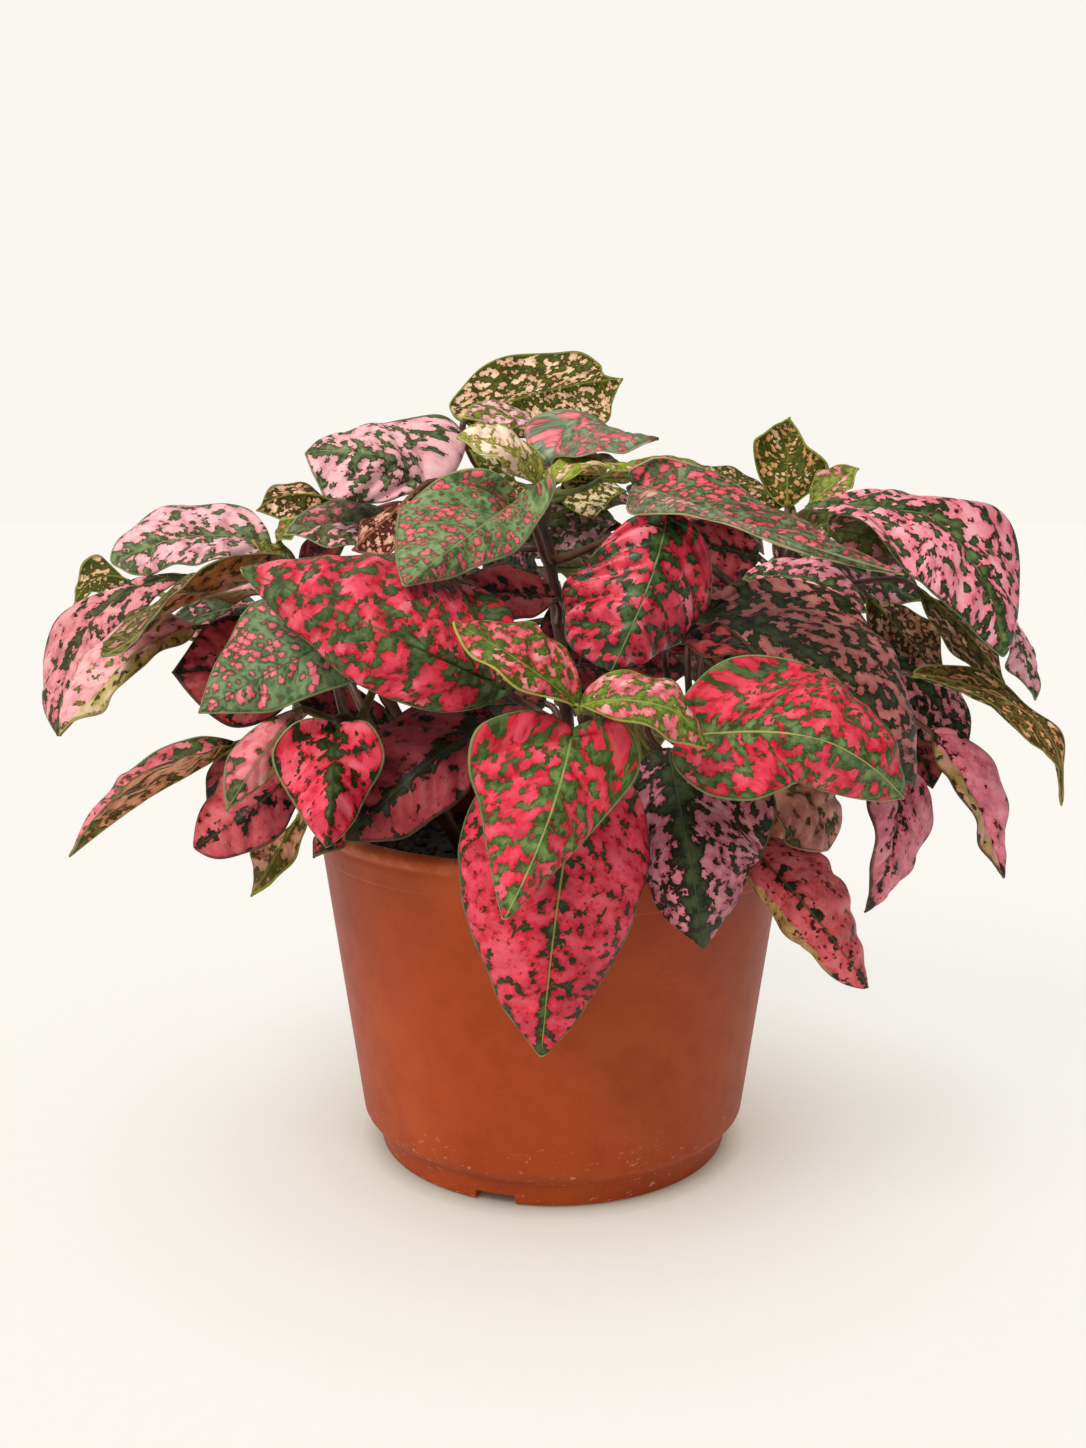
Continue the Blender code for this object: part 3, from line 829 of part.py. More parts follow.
# ---------------------------------------------------------------------------
# Pot: one moulded shell with a flared lip, a standing ring and drainage
# ---------------------------------------------------------------------------
pot_profile = [
    (57.6, RIM_TOP), (58.6, RIM_TOP - 0.1), (RIM_RADIUS - 0.3, RIM_TOP - 1.0),
    (RIM_RADIUS, RIM_TOP - 1.7), (RIM_RADIUS - 0.1, RIM_TOP - 2.6),
    (BODY_TOP_RADIUS + 0.1, RIM_TOP - 3.4), (BODY_TOP_RADIUS, RIM_TOP - 5.8),
    (BODY_FOOT_RADIUS, 10.0), (BODY_FOOT_RADIUS - 0.6, 8.6), (46.6, 6.3),
    (46.1, 5.9), (FOOT_RADIUS, 0.5), (FOOT_RADIUS - 0.4, 0.0),
    (FOOT_INNER_RADIUS + 0.2, 0.0), (FOOT_INNER_RADIUS, 0.4),
    (FOOT_INNER_RADIUS + 0.4, FLOOR_UNDERSIDE), (0.0, FLOOR_UNDERSIDE),
]
inner = [
    (0.0, FLOOR_UNDERSIDE + WALL), (44.2, FLOOR_UNDERSIDE + WALL), (47.4, 8.4),
    (48.1, 10.4), (BODY_TOP_RADIUS - WALL, RIM_TOP - 5.8), (57.2, RIM_TOP - 0.6),
]
pot = turned("pot", pot_profile, PARTS, "pot")
pot.data.clear_geometry()
bm = bmesh.new()
ring = [bm.verts.new((r * MM, 0.0, z * MM)) for r, z in pot_profile + inner]
for a, b in zip(ring, ring[1:]):
    if a.co.x > 1e-9 or b.co.x > 1e-9:
        bm.edges.new((a, b))
bm.edges.new((ring[-1], ring[0]))
bm.to_mesh(pot.data)
bm.free()

for k, degrees in enumerate(NOTCH_ANGLES):
    a = math.radians(degrees)
    boolean(pot, box("notch_%d" % k, (12.0, NOTCH_WIDTH, 2 * NOTCH_HEIGHT),
                     (44.0 * math.cos(a), 44.0 * math.sin(a), 0.0), a), "DIFFERENCE")
for k in range(HOLE_COUNT):
    a = math.radians(30.0 + 360.0 * k / HOLE_COUNT)
    boolean(pot, rod("drain_%d" % k, HOLE_RADIUS, 8.0,
                     (HOLE_CIRCLE * math.cos(a), HOLE_CIRCLE * math.sin(a),
                      FLOOR_UNDERSIDE + WALL / 2)), "DIFFERENCE")
boolean(pot, rod("drain_middle", HOLE_RADIUS, 8.0, (0.0, 0.0, FLOOR_UNDERSIDE + WALL / 2)),
        "DIFFERENCE")

# ---------------------------------------------------------------------------
# Soil: fills the pot to a little under the rim, with a pit for each stem
# ---------------------------------------------------------------------------
low = FLOOR_UNDERSIDE + WALL + FIT_GAP


def wall_inside(z):
    f = (z - 10.4) / (RIM_TOP - 5.8 - 10.4)
    return 48.1 + (BODY_TOP_RADIUS - WALL - 48.1) * f


soil_profile = [
    (0.0, SOIL_CROWN), (16.0, SOIL_CROWN - 0.3), (34.0, SOIL_CROWN - 1.1),
    (wall_inside(SOIL_EDGE) - 2.6, SOIL_EDGE + 0.3),
    (wall_inside(SOIL_EDGE) - FIT_GAP - 0.3, SOIL_EDGE - 0.8),
    (48.1 - FIT_GAP - 0.05, 10.8), (47.2 - FIT_GAP, 8.8), (44.0 - FIT_GAP, low), (0.0, low),
]
soil = turned("soil", soil_profile, PARTS, "soil")

# ---------------------------------------------------------------------------
# Stems with the young leaves that are still one piece with their tips
# ---------------------------------------------------------------------------
for stem, (r0, r1, points) in STEMS.items():
    pit = place_object("pit_" + stem, stem_mesh("pit_" + stem, points, r0, r1, 14, grow=0.35),
                       CUTTERS)
    boolean(soil, pit, "DIFFERENCE")
    shoot = place_object("stem_" + stem, stem_mesh("stem_" + stem, points, r0, r1, 14),
                         PARTS, "stem")
    for row in YOUNG:
        if row["stem"] == stem:
            bud = place_object("bud_" + row["name"], leaf_mesh(row, True), CUTTERS)
            boolean(shoot, bud, "UNION")

# ---------------------------------------------------------------------------
# Leaves
# ---------------------------------------------------------------------------
for row in LEAVES:
    place_object(row["name"], leaf_mesh(row, False), PARTS, row["kind"])

bpy.context.view_layer.update()
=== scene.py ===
"""Looks of the potted polka dot plant: detailed leaves, stems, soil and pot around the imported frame."""
import math

import bpy
import bmesh
import numpy as np
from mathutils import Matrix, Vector, noise


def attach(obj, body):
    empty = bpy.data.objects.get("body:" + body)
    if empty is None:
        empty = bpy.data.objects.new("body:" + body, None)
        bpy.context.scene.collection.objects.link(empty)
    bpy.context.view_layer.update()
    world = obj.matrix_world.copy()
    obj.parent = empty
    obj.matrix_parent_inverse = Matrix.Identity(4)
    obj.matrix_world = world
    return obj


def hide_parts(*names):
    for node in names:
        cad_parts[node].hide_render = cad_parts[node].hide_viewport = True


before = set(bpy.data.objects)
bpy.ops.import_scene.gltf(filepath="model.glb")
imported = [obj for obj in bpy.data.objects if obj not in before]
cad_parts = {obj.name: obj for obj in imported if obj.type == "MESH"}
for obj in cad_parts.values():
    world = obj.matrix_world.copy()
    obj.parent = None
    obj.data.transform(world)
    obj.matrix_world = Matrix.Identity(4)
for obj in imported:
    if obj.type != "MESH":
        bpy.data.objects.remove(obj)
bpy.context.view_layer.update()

MM = 0.001

# ---------------------------------------------------------------------------
# Leaf layout.  All lengths here are millimetres.
# A blade is laid out flat first: x runs along the midrib from the petiole (0)
# to the tip (1), y runs across it as a fraction of the half width, and m is
# where the side vein that ends at (x, y) leaves the midrib.
# ---------------------------------------------------------------------------
OUTLINE = {
    "heart": [(0.000, 0.00, 0.00), (-0.050, 0.16, 0.00), (-0.085, 0.38, 0.01),
              (-0.065, 0.60, 0.02), (0.010, 0.82, 0.04), (0.120, 0.96, 0.08),
              (0.250, 1.00, 0.16), (0.390, 0.93, 0.27), (0.540, 0.76, 0.41),
              (0.690, 0.53, 0.56), (0.820, 0.30, 0.72), (0.925, 0.115, 0.87),
              (1.000, 0.00, 1.00)],
    "ovate": [(0.000, 0.00, 0.00), (0.000, 0.14, 0.005), (0.020, 0.34, 0.01),
              (0.065, 0.58, 0.03), (0.140, 0.80, 0.06), (0.235, 0.94, 0.12),
              (0.350, 1.00, 0.21), (0.480, 0.95, 0.33), (0.610, 0.79, 0.46),
              (0.735, 0.56, 0.60), (0.850, 0.31, 0.75), (0.940, 0.12, 0.88),
              (1.000, 0.00, 1.00)],
    "lance": [(0.000, 0.00, 0.00), (0.020, 0.12, 0.01), (0.060, 0.30, 0.03),
              (0.120, 0.52, 0.06), (0.200, 0.74, 0.11), (0.300, 0.92, 0.18),
              (0.410, 1.00, 0.28), (0.530, 0.95, 0.40), (0.650, 0.78, 0.52),
              (0.765, 0.55, 0.65), (0.870, 0.30, 0.78), (0.950, 0.12, 0.90),
              (1.000, 0.00, 1.00)],
}


def unit(v):
    v = np.asarray(v, float)
    return v / max(1e-12, float(np.linalg.norm(v)))


def spline(points, t):
    """Smooth curve through the points; t runs from 0 to 1 over the whole."""
    p = np.asarray(points, float)
    n = len(p)
    t = np.clip(np.asarray(t, float), 0.0, 1.0) * (n - 1)
    i = np.minimum(t.astype(int), n - 2)
    f = (t - i)[:, None]
    if n == 2:
        return p[i] * (1 - f) + p[i + 1] * f
    tan = np.empty_like(p)
    tan[1:-1] = (p[2:] - p[:-2]) * 0.5
    tan[0] = 2.0 * (p[1] - p[0]) - tan[1]
    tan[-1] = 2.0 * (p[-1] - p[-2]) - tan[-2]
    a, b, ta, tb = p[i], p[i + 1], tan[i], tan[i + 1]
    f2, f3 = f * f, f * f * f
    return ((2 * f3 - 3 * f2 + 1) * a + (f3 - 2 * f2 + f) * ta
            + (-2 * f3 + 3 * f2) * b + (f3 - f2) * tb)


class Rail:
    """A space curve read by arc length, with a frame carried along it."""

    def __init__(self, points, count=49):
        q = spline(points, np.linspace(0.0, 1.0, 8 * count))
        s = np.concatenate([[0.0], np.cumsum(np.linalg.norm(np.diff(q, axis=0), axis=1))])
        self.length = float(s[-1])
        self.s = np.linspace(0.0, self.length, count)
        self.p = np.stack([np.interp(self.s, s, q[:, k]) for k in range(3)], axis=1)
        t = np.gradient(self.p, axis=0)
        self.t = t / np.linalg.norm(t, axis=1)[:, None]
        self.side = None

    def frame_from(self, s0, side):
        k = int(np.argmin(np.abs(self.s - s0)))
        n = len(self.s)
        b = np.zeros((n, 3))
        b[k] = unit(side - self.t[k] * float(np.dot(side, self.t[k])))
        for step in (1, -1):
            i = k
            while 0 <= i + step < n:
                v = b[i] - self.t[i + step] * float(np.dot(b[i], self.t[i + step]))
                b[i + step] = unit(v)
                i += step
        self.side = b

    def at(self, s):
        """Position, tangent and side at arc length s (straight beyond the ends)."""
        s = np.asarray(s, float)
        c = np.clip(s, 0.0, self.length)
        p = np.stack([np.interp(c, self.s, self.p[:, k]) for k in range(3)], axis=-1)
        t = np.stack([np.interp(c, self.s, self.t[:, k]) for k in range(3)], axis=-1)
        t = t / np.linalg.norm(t, axis=-1)[..., None]
        p = p + t * (s - c)[..., None]
        if self.side is None:
            return p, t, None
        b = np.stack([np.interp(c, self.s, self.side[:, k]) for k in range(3)], axis=-1)
        b = b - t * np.sum(b * t, axis=-1)[..., None]
        b = b / np.linalg.norm(b, axis=-1)[..., None]
        return p, t, b

    def nearest(self, q):
        return float(self.s[int(np.argmin(np.linalg.norm(self.p - np.asarray(q, float), axis=1)))])


class Margin:
    """One margin of a blade through given points, from junction to tip, and
    for each point on it the place on the midrib where its side vein starts."""

    def __init__(self, midrib, points):
        self.rail = Rail(points)
        self.v = np.linspace(0.0, 1.0, 61)
        q = self.rail.at(self.v * self.rail.length)[0]
        gap = np.linalg.norm(q[:, None, :] - midrib.p[None, :, :], axis=2)
        s = midrib.s[np.argmin(gap, axis=1)] / midrib.length
        m = np.clip(s - 0.45 * gap.min(axis=1) / midrib.length, 0.0, 1.0)
        m = np.maximum.accumulate(np.maximum(m, 0.10 * self.v))
        for _ in range(8):
            m[1:-1] = 0.25 * m[:-2] + 0.5 * m[1:-1] + 0.25 * m[2:]
            m[0], m[-1] = 0.0, 1.0
        self.m = m


class Blade:
    """A leaf blade hung on its midrib: junction, middle(s), tip, and its
    margins, left and right as seen on its upper face.  A margin is given by
    its widest point alone, or by a list of points from junction to tip."""

    def __init__(self, J, M, T, L, R, shape="ovate", camber=18.0, wave=0.8,
                 waves=2.5, phase=0.0, twist=0.0, tipfold=1.0, basefold=1.0):
        mids = [M] if np.ndim(M) == 1 else list(M)
        self.rail = Rail([J] + mids + [T])
        self.len = self.rail.length
        self.margin = [None, None]
        wide = []
        for k, E in enumerate((L, R)):
            E = np.atleast_2d(np.asarray(E, float))
            if len(E) > 1:
                ends = [np.asarray(J, float)] + list(E) + [np.asarray(T, float)]
                self.margin[k] = Margin(self.rail, ends)
            far = [np.linalg.norm(self.rail.p - e, axis=1).min() for e in E]
            wide.append(E[int(np.argmax(far))])
        L, R = wide
        lo, hi = 0.10 * self.len, 0.62 * self.len
        self.sl = min(max(self.rail.nearest(L), lo), hi)
        self.sr = min(max(self.rail.nearest(R), lo), hi)
        pl, tl, _ = self.rail.at(self.sl)
        pr, tr, _ = self.rail.at(self.sr)
        dl, dr = L - pl, R - pr
        dl = dl - tl * float(np.dot(dl, tl))
        dr = dr - tr * float(np.dot(dr, tr))
        self.rail.frame_from(0.5 * (self.sl + self.sr), unit(dr) - unit(dl))
        self.half = []
        for s, d, sign in ((self.sl, dl, -1.0), (self.sr, dr, 1.0)):
            _, t, b = self.rail.at(s)
            n = np.cross(b, t)
            chord = float(np.linalg.norm(d))
            tilt = math.atan2(float(np.dot(d, n)), sign * float(np.dot(d, b)))
            self.half.append((chord, tilt, math.radians(camber)))
        flat = np.asarray(OUTLINE[shape], float)
        self.flat = flat
        self.xw = float(flat[int(np.argmax(flat[:, 1])), 0])
        self.wave, self.waves, self.phase, self.twist = wave, waves, phase, math.radians(twist)
        self.tipfold, self.basefold = tipfold, basefold

    def outline(self, v, side):
        """Flat outline point (x, y as fractions) and vein root m for v in 0..1."""
        q = spline(self.flat, v)
        s = self.sl if side < 0 else self.sr
        power = min(1.7, max(0.55, math.log(max(0.05, s / self.len)) / math.log(self.xw)))
        x = np.where(q[:, 0] > 0, np.abs(q[:, 0]) ** power, q[:, 0])
        m = np.clip(q[:, 2], 0, 1) ** power
        return np.minimum(x, 1.0), np.clip(q[:, 1], 0, 1.05), m

    def place(self, x, y):
        """Flat (x along as a fraction, y across, -1..1) to a point in space."""
        x = np.asarray(x, float)
        y = np.asarray(y, float)
        p, t, b = self.rail.at(x * self.len)
        n = np.cross(b, t)
        xm = 0.5 * (self.sl + self.sr) / self.len
        if self.twist:
            w = self.twist * (x - xm)
            c, s = np.cos(w)[..., None], np.sin(w)[..., None]
            b, n = b * c + n * s, n * c - b * s
        out = np.empty(np.broadcast(x, y).shape + (3,))
        fold = np.where(x > xm, 1 + (self.tipfold - 1) * (x - xm) / max(0.05, 1 - xm),
                        1 + (self.basefold - 1) * (xm - x) / max(0.05, xm))
        for sign, (chord, tilt, cam) in ((-1.0, self.half[0]), (1.0, self.half[1])):
            a = np.clip(sign * y, 0.0, 1.2)
            if abs(cam) > 1e-3:
                r = chord * np.sin(cam * a) / math.sin(cam)
                ang = tilt * fold + cam * (1.0 - a)
            else:
                r = chord * a
                ang = tilt * fold + 0 * a
            lift = self.wave * a ** 2.2 * np.sin(
                2 * math.pi * self.waves * x + self.phase + (0.9 if sign > 0 else 0.0))
            q = (p + b * (sign * r * np.cos(ang))[..., None]
                 + n * (r * np.sin(ang) + lift)[..., None])
            pick = (y * sign >= 0)[..., None]
            out = np.where(pick, q, out)
        return out

    def surf(self, v, u, s):
        """Point on half s (-1 left, 1 right): v runs along its margin from the
        junction to the tip, u out along a side vein from midrib to margin."""
        v, u = np.broadcast_arrays(np.asarray(v, float), np.asarray(u, float))
        k = 0 if s < 0 else 1
        chord, tilt, cam = self.half[k]
        if self.margin[k] is None:
            x1, y1, m1 = (c.reshape(v.shape) for c in self.outline(v.ravel(), s))
            x = m1 + (x1 - m1) * np.maximum(u, 0.0) ** 1.25
            return self.place(x, s * np.maximum(y1 * u, 1e-6))
        e = self.margin[k]
        vv = np.clip(v, 0.0, 1.0)
        m = np.interp(vv, e.v, e.m)
        b = e.rail.at(vv * e.rail.length)[0]
        p, t, side = self.rail.at(m * self.len)
        n = np.cross(side, t) * math.cos(tilt) - side * (s * math.sin(tilt))
        d = b - p
        size = np.linalg.norm(d, axis=-1)
        lift = (2.0 * math.sin(0.5 * cam) * size * u * (1.0 - u)
                + self.wave * np.minimum(1.0, size / chord) * np.maximum(u, 0.0) ** 2.2 * np.sin(
                    2 * math.pi * self.waves * m + self.phase + (0.9 if s > 0 else 0.0)))
        return p + d * u[..., None] + n * lift[..., None]

    def root(self, v, s):
        """Where on the midrib (0..1) the side vein at v of half s starts."""
        k = 0 if s < 0 else 1
        if self.margin[k] is None:
            return self.outline(np.atleast_1d(v), s)[2]
        return np.interp(np.clip(np.atleast_1d(v), 0, 1), self.margin[k].v, self.margin[k].m)

    def reach(self, v, u, s):
        """Distance in mm from the midrib, measured square to it."""
        k = 0 if s < 0 else 1
        if self.margin[k] is None:
            return self.outline(np.atleast_1d(v), s)[1] * u * self.half[k][0]
        m = self.root(v, s)
        b = self.margin[k].rail.at(np.clip(np.atleast_1d(v), 0, 1) * self.margin[k].rail.length)[0]
        p, t, _ = self.rail.at(m * self.len)
        d = b - p
        return u * np.linalg.norm(d - t * np.sum(d * t, axis=-1)[..., None], axis=-1)

    def face(self, v, u, s):
        """Unit normal of the upper face, averaged over the fold at the midrib."""
        e = 0.012
        u = np.asarray(u, float)

        def one(w, side):
            dv = self.surf(min(v + e, 1.0), w, side) - self.surf(max(v - e, 0.0), w, side)
            du = self.surf(v, w + e, side) - self.surf(v, np.maximum(w - e, 0.0), side)
            n = np.cross(side * du, dv)
            return n / np.maximum(1e-9, np.linalg.norm(n, axis=-1))[..., None]

        n = one(u, s)
        mid = u < e
        if np.any(mid):
            n = np.where(mid[..., None], n + one(u, -s), n)
        return n / np.maximum(1e-9, np.linalg.norm(n, axis=-1))[..., None]


def stalk_path(A, J, toward, drop, out=None):
    """Petiole from its foot A to the junction J, running into the midrib."""
    A, J = np.asarray(A, float), np.asarray(J, float)
    span = float(np.linalg.norm(J - A))
    d0 = unit(J - A) if out is None else unit(out)
    p1 = A + d0 * span * 0.33
    p2 = J - unit(toward) * span * 0.30 - drop
    t = np.linspace(0, 1, 25)[:, None]
    return ((1 - t) ** 3 * A + 3 * (1 - t) ** 2 * t * p1
            + 3 * (1 - t) * t ** 2 * p2 + t ** 3 * J)


# Stems: radius at the soil, radius at the tip, and the way they grow (mm).
STEMS = {
    "centre": (1.9, 1.3, [(1, -2, 64), (4, -6, 95), (2, -10, 128), (-1, -10, 150), (-3, -10, 158), (-2, -9, 166)]),
    "front": (1.9, 1.3, [(8, -22, 64), (12, -38, 88), (12, -58, 108), (8, -74, 117), (5, -84, 123)]),
    "left": (1.8, 1.3, [(-16, -16, 64), (-26, -24, 88), (-38, -36, 106), (-48, -49, 117)]),
    "right": (1.8, 1.3, [(22, -14, 64), (28, -24, 86), (31, -40, 104), (32, -54, 116)]),
    "right_back": (1.8, 1.3, [(20, 12, 64), (34, 15, 96), (50, 18, 130), (62, 21, 150), (66, 22, 161)]),
    "right_low": (1.8, 1.3, [(30, 0, 64), (46, 5, 88), (68, 12, 108), (86, 17, 119)]),
    "left_back": (1.8, 1.3, [(-22, 10, 64), (-36, 13, 98), (-55, 17, 130), (-72, 20, 146)]),
    "back": (1.9, 1.3, [(-8, 20, 64), (-13, 30, 98), (-17, 34, 135), (-17, 29, 160), (-16, 25, 174)]),
}


def leaf(name, stem, foot, shape, kind, J, M, T, L, R, **opt):
    """J junction with the petiole, M midrib, T tip, L and R left and right margin (mm)."""
    return dict(name=name, stem=stem, foot=foot, shape=shape, kind=kind,
                J=J, M=M, T=T, L=L, R=R, opt=opt)


